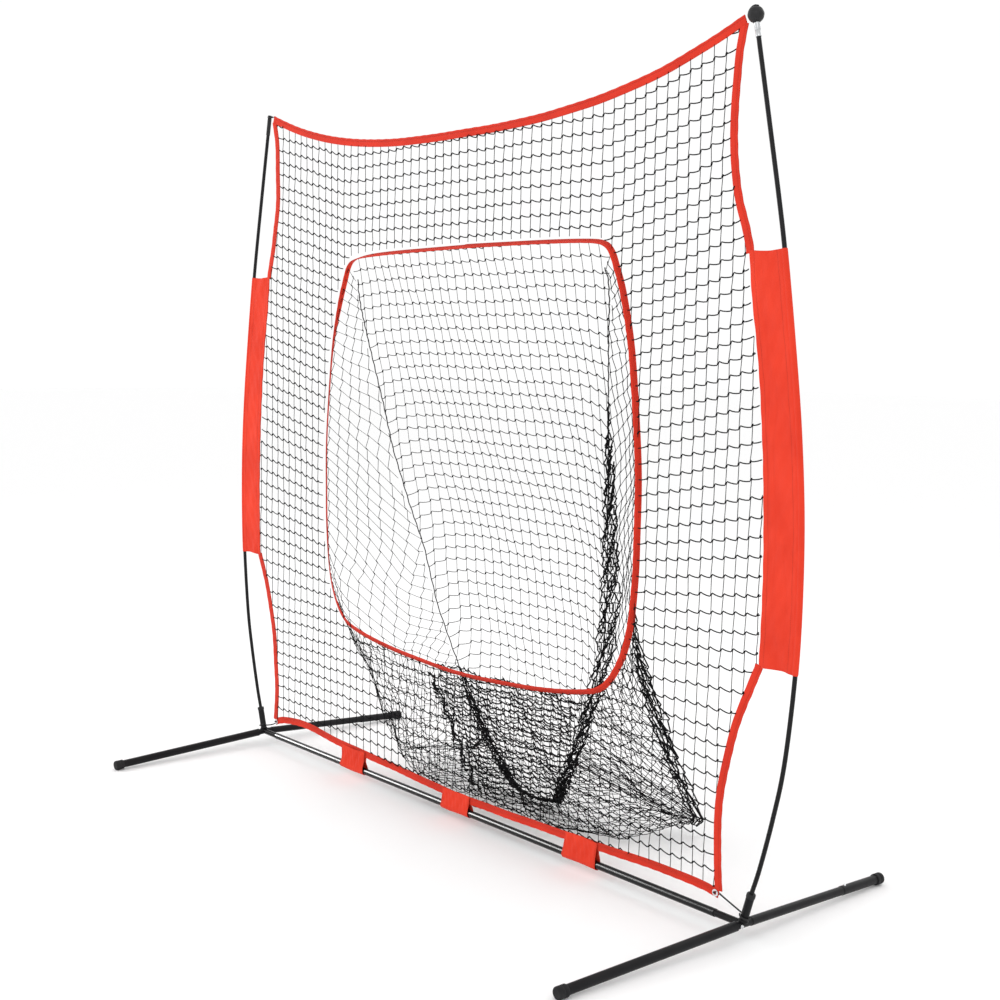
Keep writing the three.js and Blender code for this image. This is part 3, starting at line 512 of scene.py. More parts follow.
def floor_paint():
    material, tree, shader = new_material("studio_floor")
    shader.inputs["Base Color"].default_value = (0.975, 0.975, 0.975, 1.0)
    shader.inputs["Roughness"].default_value = 0.9
    return material


RED_DARK = (0.60, 0.030, 0.013)
RED_LIGHT = (0.84, 0.058, 0.026)
TAPE_DARK = (0.50, 0.024, 0.012)
TAPE_LIGHT = (0.78, 0.043, 0.019)
BLACK_STEEL = powder_coat("black_powder_coat", (0.006, 0.006, 0.007), (0.010, 0.010, 0.011), 0.34, 0.16)
GLOSS_STEEL = powder_coat("gloss_powder_coat", (0.0015, 0.0015, 0.002), (0.003, 0.003, 0.0035), 0.24, 0.22)
FIBRE = powder_coat("fibreglass_rod", (0.007, 0.007, 0.008), (0.010, 0.010, 0.011), 0.30, 0.16)
RUBBER = moulded("cap_rubber", (0.008, 0.008, 0.009), (0.020, 0.020, 0.021), 0.68, 1400)
PLASTIC = moulded("black_plastic", (0.010, 0.010, 0.011), (0.024, 0.024, 0.025), 0.45, 1100)
BRIGHT = plated("bright_steel", (0.80, 0.81, 0.82), 0.22)
FERRULE = plated("bright_ferrule", (0.62, 0.63, 0.64), 0.34)
SLEEVE_CLOTH = cloth("sleeve_cloth", RED_DARK, RED_LIGHT, 0.0009, seams=(0.014, 0.086, 0.160, 0.232))
STRAP_CLOTH = cloth("strap_cloth", RED_DARK, RED_LIGHT, 0.0010, seams=(0.004, 0.126))
EDGE_SEAMS = (0.0022, 0.0200, 0.0290, 0.0460)
RING_SEAMS = (0.0022, 0.0150, 0.0240, 0.0360)
EDGE_TAPE = cloth("edge_tape", TAPE_DARK, TAPE_LIGHT, 0.0011, ribs=True, seams=EDGE_SEAMS)
RING_TAPE = cloth("ring_tape", TAPE_DARK, TAPE_LIGHT, 0.0011, ribs=True, seams=RING_SEAMS)
TWINE = twisted("net_twine", (0.0015, 0.0015, 0.002), (0.008, 0.008, 0.009), 0.006, 2 * np.pi * TWINE_R)
BRAID = twisted("black_braid", (0.002, 0.002, 0.003), (0.010, 0.010, 0.011), 0.008, 2 * np.pi * CORD_R)


# ---------------------------------------------------------------- lines of the net
def top_edge(count):
    """z = middle + rise * |x / corner|^2.7"""
    x = np.linspace(-CORNER_TOP[0], CORNER_TOP[0], count)
    return np.stack([x, TOP_MID_Z + (CORNER_TOP[1] - TOP_MID_Z) * np.abs(x / CORNER_TOP[0]) ** 2.7], -1)


def bottom_edge(count):
    return curve_through([(-CORNER_BOTTOM[0], CORNER_BOTTOM[1])] + BOTTOM_EDGE + [CORNER_BOTTOM], count)


def hole_line(count):
    left = [(-x, z) for x, z in MOUTH[-2:0:-1]]
    return curve_through(MOUTH + left, count, closed=True)


def panel_outline():
    """Centre lines of the edge tapes, and the sleeves' inner edges, as one closed polygon."""
    sleeve = curve_through([(x + 0.004, z) for z, x in SLEEVE[::-1]], 30)
    right = np.concatenate([curve_through(UPPER_SIDE, 24), sleeve, curve_through(LOWER_SIDE, 30)])
    left = (right * (-1, 1))[::-1]
    return np.concatenate([top_edge(80), right, bottom_edge(60)[::-1], left])


def within(polygon, x, z):
    """Which points lie inside a polygon: an odd count of edges crosses the line to their right."""
    p, q = polygon, np.roll(polygon, -1, axis=0)
    x, z = np.asarray(x)[..., None], np.asarray(z)[..., None]
    spans = (p[:, 1] > z) != (q[:, 1] > z)
    level = q[:, 1] - p[:, 1]
    at = p[:, 0] + (z - p[:, 1]) * (q[:, 0] - p[:, 0]) / np.where(level == 0, 1e-9, level)
    return (spans & (x < at)).sum(-1) % 2 == 1


# ---------------------------------------------------------------- net from twine
def strand_mesh(starts, ends, radius, sag, first_face):
    """Twine between pairs of knots: a five-sided tube of three stretches, whose centre line sinks by
    sag * 4 t (1 - t)."""
    t = np.linspace(0, 1, 4)[None, :, None]
    centre = starts[:, None] * (1 - t) + ends[:, None] * t
    centre[..., 2] -= sag * 4 * (t * (1 - t))[..., 0]
    along = unit(ends - starts)
    helper = np.where(np.abs(along[:, 1:2]) < 0.9, [[0.0, 1.0, 0.0]], [[1.0, 0.0, 0.0]])
    side = unit(np.cross(along, helper))
    other = np.cross(along, side)
    angle = np.linspace(0, 2 * np.pi, 5, endpoint=False)
    ring = np.cos(angle)[None, :, None] * side[:, None] + np.sin(angle)[None, :, None] * other[:, None]
    points = centre[:, :, None] + radius * ring[:, None]
    base = first_face + np.arange(len(starts))[:, None, None] * 20
    quads = (base + grid_faces(4, 5, wrap=True)[None]).reshape(-1, 4)
    caps = (base[:, 0] + np.arange(5)[None, ::-1], base[:, 0] + 15 + np.arange(5)[None])
    length = np.linalg.norm(ends - starts, axis=1)[:, None, None] * t[..., 0][..., None]
    round_it = np.broadcast_to(angle * radius, points.shape[:3])
    uv = np.stack(np.broadcast_arrays(length, round_it), -1)
    return points.reshape(-1, 3), [quads, *caps], uv.reshape(-1, 2)


def knot_mesh(centres, long_axis, cross_axis, sizes, first_face):
    """A knot at each centre: an icosahedron stretched to sizes along its three axes."""
    g = (1 + 5**0.5) / 2
    corners = np.array([
        (-1, g, 0), (1, g, 0), (-1, -g, 0), (1, -g, 0), (0, -1, g), (0, 1, g),
        (0, -1, -g), (0, 1, -g), (g, 0, -1), (g, 0, 1), (-g, 0, -1), (-g, 0, 1),
    ]) / np.hypot(1, g)
    faces = np.array([
        (0, 11, 5), (0, 5, 1), (0, 1, 7), (0, 7, 10), (0, 10, 11), (1, 5, 9), (5, 11, 4), (11, 10, 2),
        (10, 7, 6), (7, 1, 8), (3, 9, 4), (3, 4, 2), (3, 2, 6), (3, 6, 8), (3, 8, 9), (4, 9, 5),
        (2, 4, 11), (6, 2, 10), (8, 6, 7), (9, 8, 1),
    ])
    out = np.cross(long_axis, cross_axis)
    axes = np.stack([long_axis * sizes[0], cross_axis * sizes[1], out * sizes[2]], 1)
    points = centres[:, None] + corners[None] @ axes
    faces = first_face + np.arange(len(centres))[:, None, None] * 12 + faces[None]
    uv = np.broadcast_to(corners[:, :2] * sizes[0], (len(centres), 12, 2))
    return points.reshape(-1, 3), [faces.reshape(-1, 3)], uv.reshape(-1, 2)


def net(name, place, columns, rows, inside, jitter=0.0015, sag=0.0015, radius=TWINE_R, knot=1.0, hang=0.7):
    """A square-mesh net laid on a surface. Knots sit at place(column, row) wherever inside(column,
    row) holds, moved a little at random; twine joins neighbours, and the twine of the last knot in a
    row or column runs on to the edge, which is found by halving the step. hang is the columns' share of
    the rows' thickness."""
    a, b = np.meshgrid(columns, rows)
    keep = inside(a, b)
    knots = place(a, b)
    knots = knots + random.normal(0, jitter, knots.shape) * (1.0, 0.6, 1.0)
    row_way = unit(np.gradient(knots, axis=1))
    up_way = unit(np.gradient(knots, axis=0))
    up_way = unit(up_way - (up_way * row_way).sum(-1, keepdims=True) * row_way)
    long_axis = unit(row_way + up_way)
    cross_axis = unit(row_way - up_way)
    reach = 0.0036 * knot
    parts = []
    total = 0
    for axis, thick, step in ((1, radius, row_way + up_way), (0, radius * hang, -0.3 * row_way)):
        low = (slice(None), slice(None, -1)) if axis else (slice(None, -1), slice(None))
        high = (slice(None), slice(1, None)) if axis else (slice(1, None), slice(None))
        both = keep[low] & keep[high]
        starts = [(knots + step * reach)[low][both]]
        ends = [(knots - step * reach)[high][both]]
        for one, two in ((low, high), (high, low)):
            last = keep[one] & ~keep[two]
            here = np.stack([a[one][last], b[one][last]], -1)
            there = np.stack([a[two][last], b[two][last]], -1)
            for _ in range(12):
                middle = (here + there) / 2
                good = inside(middle[:, 0], middle[:, 1])[:, None]
                here, there = np.where(good, middle, here), np.where(good, there, middle)
            starts.append(knots[one][last])
            ends.append(place(there[:, 0], there[:, 1]))
        start, end = np.concatenate(starts), np.concatenate(ends)
        long_enough = np.linalg.norm(end - start, axis=1) > 0.002
        parts.append(strand_mesh(start[long_enough], end[long_enough], thick, sag if axis else 0.0, total))
        total += len(parts[-1][0])
    sizes = (0.0052 * knot, 0.0024 * knot, 0.0024 * knot)
    parts.append(knot_mesh(knots[keep], long_axis[keep], cross_axis[keep], sizes, total))
    points, faces, uv = (list(x) for x in zip(*parts))
    return make_piece(name, np.concatenate(points), sum(faces, []), TWINE, np.concatenate(uv))


def row_height(h, x):
    """A row that lies at height h in the middle turns up outside the hole's width, in a straight line
    whose slope fades out towards the bottom."""
    slope = np.interp(h, (0.50, 0.60, 0.80, 1.00, 1.20, 1.95), (0.0, 0.07, 0.13, 0.19, 0.22, 0.24))
    out = np.abs(x) - 0.575
    return h + slope * (out + np.sqrt(out**2 + 0.015**2)) / 2


def panel_place(a, b):
    """The panel is flat, but for a shallow ripple, and its columns are drawn together beside the
    hole."""
    x = np.sign(a) * (np.abs(a) - 0.06 * np.maximum(np.abs(a) - 0.62, 0))
    y = 0.0015 * np.sin(9 * x + 5 * b) + 0.001 * np.sin(23 * x - 11 * b)
    return np.stack([x, y, row_height(b, x)], -1)


def make_panel():
    outline = panel_outline()
    hole = hole_line(160)

    def inside(a, b):
        """Inside the outline and outside the hole, and off the tapes but for their edges."""
        p = panel_place(a, b)
        x, z = p[..., 0], p[..., 2]
        keep = np.ones(x.shape, bool)
        for dx, dz in ((1, 0), (-1, 0), (0, 1), (0, -1)):
            keep &= within(outline, x + dx * TAPE_HOLD, z + dz * TAPE_HOLD)
            keep &= ~within(hole, x + dx * HOLE_HOLD, z + dz * HOLE_HOLD)
        return keep

    columns = np.arange(-31.5, 32) * PITCH
    rows = np.arange(0.062, 2.10, PITCH)
    piece = net("net_panel_twine", panel_place, columns, rows, inside,
                jitter=0.0009, radius=0.0016, knot=1.1, hang=0.6)
    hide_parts("net_panel")
    finish(piece)


# ---------------------------------------------------------------- pocket surfaces
def half_line(points):
    p = np.asarray(points, float)
    if p.shape[1] == 2:
        p = np.stack([p[:, 0], np.full(len(p), 0.004), p[:, 1]], -1)
    return p


MOUTH_3D, FOLD_3D, SEAM_3D = half_line(MOUTH), half_line(FOLD), half_line(SEAM)
MOUTH_STEP = np.linalg.norm(np.diff(MOUTH_3D, axis=0), axis=1)
MOUTH_AT = np.concatenate([[0], np.cumsum(MOUTH_STEP)])
HALF_MOUTH = MOUTH_AT[-1]
CORNER_AT = MOUTH_AT[5]  # where the seam starts, near the hole's top corner


def front_line(side):
    """Halfway from the mouth to the fold down to the bag's corner, and given points from there."""
    middle = (MOUTH_3D + FOLD_3D) / 2
    return np.concatenate([middle[:FRONT_FROM], np.asarray(FRONT[side], float)])


def on_line(points, s):
    """The point of a pocket line at the distance s round the mouth from its top centre."""
    return np.stack([np.interp(s, MOUTH_AT, points[:, k]) for k in range(3)], -1)


def chords(side, s):
    """The four guide points at s, and the distances from the first to each."""
    guides = [on_line(line, s) for line in (MOUTH_3D, front_line(side), FOLD_3D, SEAM_3D)]
    steps = [np.linalg.norm(q - p, axis=-1) for p, q in zip(guides, guides[1:])]
    return guides, np.cumsum([np.zeros_like(steps[0])] + steps, axis=0)


def side_width(side, s):
    return chords(side, s)[1][-1]


def along_chords(side, s, d):
    """The point at the distance d along the chords from mouth to front, fold and seam."""
    guides, reach = chords(side, s)
    d = np.clip(d, 0, reach[-1])
    point = guides[0]
    for k in range(3):
        part = np.clip((d - reach[k]) / np.maximum(reach[k + 1] - reach[k], 1e-6), 0, 1)[..., None]
        point = np.where(part > 0, guides[k] * (1 - part) + guides[k + 1] * part, point)
    return point


def side_place(side, sign):
    """The side net: the chords from mouth to seam with their corners rounded, as the mean of five
    points 12 mm apart. Its rows slip downwards as they run back, and it ripples by a few
    millimetres: depth by sines of 17a + 25b and 41a - 13b, height low down by one of 23a + 31b."""

    def place(a, b):
        slip = 0.85 * np.exp(-(((a - 1.20) / 0.50) ** 2)) * np.minimum(b, 0.24)
        s = np.clip(a + slip, 0, HALF_MOUTH)
        d = b * side_width(side, s) / np.maximum(side_width(side, a), 0.01)
        ease = np.minimum(1, b / 0.03)
        p = sum(along_chords(side, s, d + k * 0.012 * ease) for k in range(-2, 3)) / 5
        fade = np.minimum(b / 0.15, 1)
        p[..., 1] += fade * (0.005 * np.sin(17 * a + 25 * b) + 0.003 * np.sin(41 * a - 13 * b))
        low = np.interp(p[..., 2], (0.02, 0.3, 0.6), (0.3, 1, 0))
        p[..., 2] += fade * 0.009 * np.sin(23 * a + 31 * b) * low
        p[..., 1] = np.maximum(p[..., 1], 0.006)
        p[..., 2] = np.maximum(p[..., 2], 0.005)
        return p * (sign, 1, 1)

    return place


def even_columns(first, last, pitch):
    """Places round the mouth whose columns are a pitch apart where they are widest apart: equal
    steps of the sum of max(1, 0.55 fold speed, 0.55 seam speed)."""
    s = np.linspace(first, last, 600)
    speed = [np.linalg.norm(np.gradient(on_line(line, s), s, axis=0), axis=1) for line in (FOLD_3D, SEAM_3D)]
    grown = np.cumsum(np.maximum(1.0, 0.55 * np.maximum(*speed))) * (s[1] - s[0])
    return np.interp(np.arange(grown[0], grown[-1], pitch), grown, s)


def make_side_net(side, sign):
    pitch, radius = (0.029, 0.0010) if side == "right" else (0.034, 0.0009)
    columns = even_columns(CORNER_AT, HALF_MOUTH, pitch)
    rows = np.arange(0.009, 1.05, pitch * 0.9)
    return net("pocket_side_twine_" + side, side_place(side, sign), columns, rows,
               lambda a, b: b <= side_width(side, a),
               jitter=0.0018, sag=0.0008, radius=radius, knot=0.85, hang=0.8)


SEAM_DOWN = SEAM_3D[::-1]


def seam_at(h):
    """Half width and depth of the back net's seam at a height, carried on up to the mouth."""
    below = SEAM_DOWN[:-6]
    z = np.append(below[:, 2], (1.600, 1.655))
    half = np.append(below[:, 0], (0.575, 0.590))
    depth = np.append(below[:, 1], (0.018, 0.007))
    return np.interp(h, z, half), np.interp(h, z, depth)


def row_drop(b):
    return np.interp(b, (0.0, 0.3, 0.6, 1.2, 1.62), (0.0, 0.03, 0.045, 0.035, 0.010))


def back_place(a, b):
    """The back net bellies out behind its seam: y = seam + bulge * (1 - u^4), and its rows turn down
    towards the seam: z = h - drop * |u|^7, with u from -1 to 1 across it."""
    drop = row_drop(b)
    half, depth = seam_at(b - drop)
    u = np.clip(a / np.maximum(half, 0.01), -1, 1)
    bulge = BACK_BULGE * np.interp(b, (0.0, 0.3, 0.9, 1.62), (0.1, 0.8, 1.0, 0.05))
    y = depth + bulge * (1 - u**4) + 0.003 * np.sin(13 * a + 21 * b)
    return np.stack([a, y, np.maximum(b - drop * np.abs(u) ** 7, 0.005)], -1)


def make_back_net():
    columns = np.arange(-16, 17) * PITCH
    rows = np.arange(0.020, 1.66, 0.0370)
    hole = hole_line(160)

    def inside(a, b):
        """Between the seams and, near the top, inside the hole."""
        between = np.abs(a) < seam_at(b - row_drop(b))[0]
        return between & within(hole, np.where(b > 1.3, a, 0), np.maximum(b, 0.6))

    return net("pocket_back_twine", back_place, columns, rows, inside,
               jitter=0.0012, radius=0.0011, knot=1.05, hang=0.65)


def gathered(name, line, across, sign, stretch, spread_at, count, seed_shift):
    """Net drawn together along a line of the pocket: count close rows beside it, spread in a given
    direction over a width that changes with the height, and crumpled square to it."""
    low, high = stretch

    def place(a, b):
        start = on_line(line, np.clip(a, 0, HALF_MOUTH))
        wide = np.interp(start[..., 2], *spread_at)
        p = start + np.asarray(across) * (b * wide)[..., None]
        crumple = 0.07 * wide * (np.sin(61 * a + 9 * b + seed_shift) + 0.8 * np.sin(113 * a - 17 * b))
        p[..., 1] += crumple
        p[..., 0] += crumple
        p[..., 2] = np.maximum(p[..., 2], 0.005)
        return p * (sign, 1, 1)

    def inside(a, b):
        """One row alone where the gathering is narrow."""
        wide = np.interp(on_line(line, np.clip(a, 0, HALF_MOUTH))[..., 2], *spread_at)
        return (np.abs(b) < 0.06) | (wide > 0.015 + 0.02 * np.abs(b))

    columns = np.arange(low, high, 0.021)
    rows = np.linspace(-0.3, 0.7, count)
    return net(name, place, columns, rows, inside, jitter=0.0018, sag=0.0, radius=0.0021, knot=0.95)


def slack_place(shift, wave):
    """Spare net in the bottom of the pocket: low folds across it, each row nearly level."""

    def place(a, b):
        fold = wave * (np.sin(33 * a + 21 * b + shift) + 0.6 * np.sin(71 * a - 55 * b + 2 * shift))
        y = 0.16 + 0.035 * shift + 0.09 * (0.42 - b) + 2.0 * fold
        return np.stack([a + 0.3 * fold, y, np.maximum(b + fold, 0.006)], -1)

    return place


def in_slack(a, b):
    left = np.interp(b, (0.0, 0.10, 0.33), (-0.14, -0.20, -0.33))
    right = np.interp(b, (0.0, 0.10, 0.40), (0.14, 0.21, 0.33))
    return (a > left) & (a < right) & (b > 0.01) & (b < 0.395 - 0.06 * np.maximum(-a - 0.2, 0))


def in_left_slack(a, b):
    left = np.interp(b, (0.0, 0.10, 0.33), (-0.13, -0.18, -0.31))
    right = np.interp(b, (0.02, 0.40), (-0.06, -0.26))
    return (a > left) & (a < right) & (b > 0.02) & (b < 0.37)


def make_pocket():
    pieces = [make_back_net()]
    for side, sign in SIDES:
        pieces.append(make_side_net(side, sign))
        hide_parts("pocket_net")
        pieces.append(make_seam_cord(side, sign))
    seam_heights = (0.0, 0.1, 0.45, 0.66, 0.92, 1.20, 1.35)
    seam_spread = (seam_heights, (0.030, 0.036, 0.042, 0.058, 0.038, 0.017, 0.008))
    pieces.append(gathered("pocket_seam_gather_right", SEAM_3D, (0.85, 0.30, 0), 1, (1.02, HALF_MOUTH),
                           seam_spread, 8, 0.0))
    seam_spread = ((0.0, 0.1, 0.28, 0.42, 0.52), (0.028, 0.036, 0.030, 0.010, 0.005))
    pieces.append(gathered("pocket_seam_gather_left", SEAM_3D, (0.85, -0.30, 0), -1, (1.66, HALF_MOUTH),
                           seam_spread, 6, 1.0))
    fold_spread = ((0.0, 0.1, 0.45, 0.60, 0.72), (0.030, 0.036, 0.042, 0.024, 0.010))
    pieces.append(gathered("pocket_fold_gather", FOLD_3D, (-0.65, -0.70, 0.25), 1, (1.50, 1.86),
                           fold_spread, 7, 2.0))
    pieces.append(net("pocket_slack_1", slack_place(0.5, 0.003), np.arange(-0.43, 0.36, 0.031),
                      np.arange(0.012, 0.41, 0.0170), in_slack, jitter=0.0016, sag=0.003,
                      radius=0.0022, knot=0.8, hang=0.35))
    pieces.append(net("pocket_slack_2", slack_place(-1.2, 0.006), np.arange(-0.43, 0.0, 0.022),
                      np.arange(0.020, 0.41, 0.0150), in_left_slack, jitter=0.0028, sag=0.002,
                      radius=0.0023, knot=0.9, hang=0.7))
    pieces.append(make_loose_end())
    for piece in pieces:
        finish(piece)


def make_loose_end():
    """A slipped loop of twine that stands off the mouth's lower left corner."""
    route = [(-0.598, 0.0, 0.508), (-0.592, -0.002, 0.516), (-0.575, -0.003, 0.516), (-0.558, -0.002, 0.501),
             (-0.552, 0.0, 0.483)]
    return bar("loose_loop", curve_through(route, 30), 0.0012, (0.0, 1.0, 0.2), TWINE, sides=8)


def make_seam_cord(side, sign):
    """The cord that the side net and the back net are sewn to, wound a little about its line."""
    s = np.linspace(CORNER_AT, HALF_MOUTH - 0.02, 170)
    path = on_line(SEAM_3D, s)
    path[:, 0] += 0.0010 * np.sin(160 * s)
    path[:, 1] += 0.0010 * np.cos(160 * s)
    path[:, 2] = np.maximum(path[:, 2], 0.005)
    return bar("pocket_seam_cord_" + side, mirrored(path, sign), 0.0017, (0.3, 1.0, 0.1), BRAID, sides=8)


# ---------------------------------------------------------------- red tapes, sleeves and straps
def finish(piece, body="frame"):
    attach(piece, body)
    return piece


def binding_section(width, thick):
    """A tape folded over an edge: round at the fold, and two plies with a groove between them."""
    angle = np.linspace(np.pi / 2, -np.pi / 2, 7)
    fold = np.stack([width / 2 - thick / 2 + thick / 2 * np.cos(angle), thick / 2 * np.sin(angle)], -1)
    edge = -width / 2
    rest = [
        (0.0, -thick * 0.46), (edge + 0.004, -thick * 0.44), (edge, -thick * 0.34), (edge, -thick * 0.12),
        (edge + 0.003, 0.0),
        (edge, thick * 0.12), (edge, thick * 0.34), (edge + 0.004, thick * 0.44), (0.0, thick * 0.46),
    ]
    return np.concatenate([fold, rest])


def bound_edge(name, line, width, node, material, outward=1.0, closed=False):
    """A binding tape along an edge of the net. It wanders a little out of the plane and its inner
    edge is drawn in at each mesh: a = a0 - pull * (0.5 - 0.5 cos(2 pi s / pitch)). Round the hole it
    is turned about its outer edge, most of all near the top left corner."""
    path = lifted(line)
    step = np.linalg.norm(np.diff(path, axis=0), axis=1)
    s = np.concatenate([[0], np.cumsum(step)])
    if not closed:
        fade = np.minimum(1, np.minimum(s, s[-1] - s) / 0.15)
        path[:, 1] += fade * (0.0016 * np.sin(11 * s + 1) + 0.0010 * np.sin(29 * s))
    tangent = unit(np.gradient(path, axis=0))
    if closed:
        tangent = unit(np.roll(path, -1, 0) - np.roll(path, 1, 0))
    flat = unit(np.cross(tangent, (0.0, 1.0, 0.0))) * outward
    depth = np.cross(tangent, flat)
    depth *= np.sign(depth[:, 1:2])
    turn = 0 * s
    if closed:
        flatter = 0.45 * np.interp(path[:, 2], (0.55, 0.75), (1.0, 0.0))
        flatter *= np.interp(path[:, 0], (-0.3, 0.4), (1.0, 0.3))
        turn = HOLE_TURN - flatter + 0.12 * np.sin(3.1 * s)
        turn += 0.8 * np.exp(-(((s - TWIST_AT) / 0.14) ** 2))
    first = flat * np.cos(turn)[:, None] + depth * np.sin(turn)[:, None]
    second = np.cross(tangent, first)
    if closed:
        path = path + (first - flat) * width / 2
    section = np.repeat(binding_section(width, 0.0034)[None], len(path), 0)
    pull = 0.0009 * (0.5 - 0.5 * np.cos(2 * np.pi * s / PITCH))
    section[:, 8:15, 0] += pull[:, None]
    if closed:
        grid = path[:, None] + section[..., :1] * first[:, None] + section[..., 1:] * second[:, None]
        rows, columns = grid.shape[:2]
        around = np.concatenate([grid, grid[:1]]).reshape(-1, 3)
        faces = grid_faces(rows + 1, columns, wrap=True)
        length = np.append(s, s[-1] + np.linalg.norm(path[-1] - path[0]))
        girth = np.concatenate([[0], np.cumsum(np.linalg.norm(np.diff(section[0], axis=0), axis=1))])
        uv = np.stack(np.broadcast_arrays(length[:, None], girth[None]), -1).reshape(-1, 2)
        piece = make_piece(name, around, [faces], material, uv, sharp=50)
        facing_out(piece)
    else:
        piece = swept(name, path, first, second, section, material, sharp=50)
    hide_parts(node)
    return finish(piece)


def make_tapes():
    bound_edge("top_binding", top_edge(220), TAPE, "top_tape", EDGE_TAPE, outward=-1)
    bound_edge("bottom_binding", bottom_edge(220), TAPE, "bottom_tape", EDGE_TAPE)
    for side, sign in SIDES:
        upper = curve_through([(1.0125, 2.101)] + UPPER_SIDE + [(1.0485, 1.590)], 90) * (sign, 1)
        lower = curve_through([(1.113, 0.657)] + LOWER_SIDE + [(1.0112, 0.094)], 90) * (sign, 1)
        bound_edge("upper_binding_" + side, upper, TAPE, "side_tape_upper_" + side, EDGE_TAPE, outward=-sign)
        bound_edge("lower_binding_" + side, lower, TAPE, "side_tape_lower_" + side, EDGE_TAPE, outward=-sign)
    bound_edge("hole_binding", hole_line(420), HOLE_TAPE, "hole_tape", RING_TAPE, closed=True)


def pole_points():
    up = np.array([np.sin(SOCKET_TILT), 0, np.cos(SOCKET_TILT)])
    start = [HUB + up * d for d in (0.026, 0.055, 0.086)]
    rest = [(x, 0.0, z) for x, z in POLE_CURVE]
    return np.concatenate([start, rest, [POLE_TOP]])


def pole_x(z):
    line = curve_through(pole_points(), 400)
    return np.interp(z, line[:, 2], line[:, 0])


def make_sleeve(side, sign):
    """One strip of cloth: from the net's edge in front, round the pole and back to the net's edge.
    Across it, the place on the strip gives the half-thickness: wide at the pole, nearly shut
    elsewhere. Creases run from the stitched line beside the pole."""
    z = np.linspace(SLEEVE[0][0], SLEEVE[-1][0], 90)
    edge = curve_through(np.array(SLEEVE), 200)
    inner_x = np.interp(z, edge[:, 0], edge[:, 1])
    pole = pole_x(z)
    q = np.linspace(0, 1, 40)
    channel = 0.0066
    flat = pole - channel * 1.6 - inner_x
    front_x = inner_x[:, None] + flat[:, None] * q[None]
    angle = np.linspace(np.radians(-148), np.radians(148), 24)[None]
    round_x = pole[:, None] + channel * np.cos(angle)
    round_y = channel * np.sin(angle) + 0 * pole[:, None]
    gap = 0.0011 + 0.0007 * np.sin(np.pi * q) + 0.0035 * q**8
    zz, qq = np.meshgrid(z, q, indexing="ij")
    u = (zz - z[0]) / (z[-1] - z[0])
    ends = np.exp(-u / 0.07) + np.exp(-(1 - u) / 0.07)
    crease = 0.0016 * np.sin(34 * zz + 5.5 * qq + sign) * np.sin(np.pi * qq) ** 0.7
    crease = crease + 0.0022 * ends * np.sin(9 * qq + 60 * zz) * np.sin(np.pi * qq)
    crease = crease + 0.0007 * np.sin(90 * zz - 17 * qq)
    front = np.stack([front_x, -gap[None] + crease, zz], -1)
    back = np.stack([front_x, gap[None] + crease * 0.8, zz], -1)[:, ::-1]
    middle = np.stack([round_x, round_y, np.broadcast_to(z[:, None], round_x.shape)], -1)
    grid = np.concatenate([front, middle, back], 1)
    outer = grid[:, :, 0].max(1, keepdims=True)
    lean = (grid[:, :, 0] - inner_x[:, None]) / (outer - inner_x[:, None])
    grid[0, :, 2] += 0.004 * np.sin(np.pi * lean[0])
    grid[-1, :, 2] -= 0.004 * np.sin(np.pi * lean[-1])
    grid = mirrored(grid, sign)
    girth = np.concatenate([[0], np.cumsum(np.linalg.norm(np.diff(grid[45], axis=0), axis=1))])
    uv = np.stack(np.broadcast_arrays(z[:, None], girth[None]), -1).reshape(-1, 2)
    faces = grid_faces(*grid.shape[:2])
    if sign > 0:
        faces = faces[:, ::-1]
    piece = make_piece("pole_sleeve_" + side, grid.reshape(-1, 3), [faces], SLEEVE_CLOTH, uv)
    thicken(piece, 0.0009)
    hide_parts("side_sleeve_" + side)
    return finish(piece)


def thicken(piece, thickness, levels=1):
    solid = piece.modifiers.new("thickness", "SOLIDIFY")
    solid.thickness = thickness
    solid.offset = 0
    smooth = piece.modifiers.new("smooth", "SUBSURF")
    smooth.levels = levels
    smooth.render_levels = levels


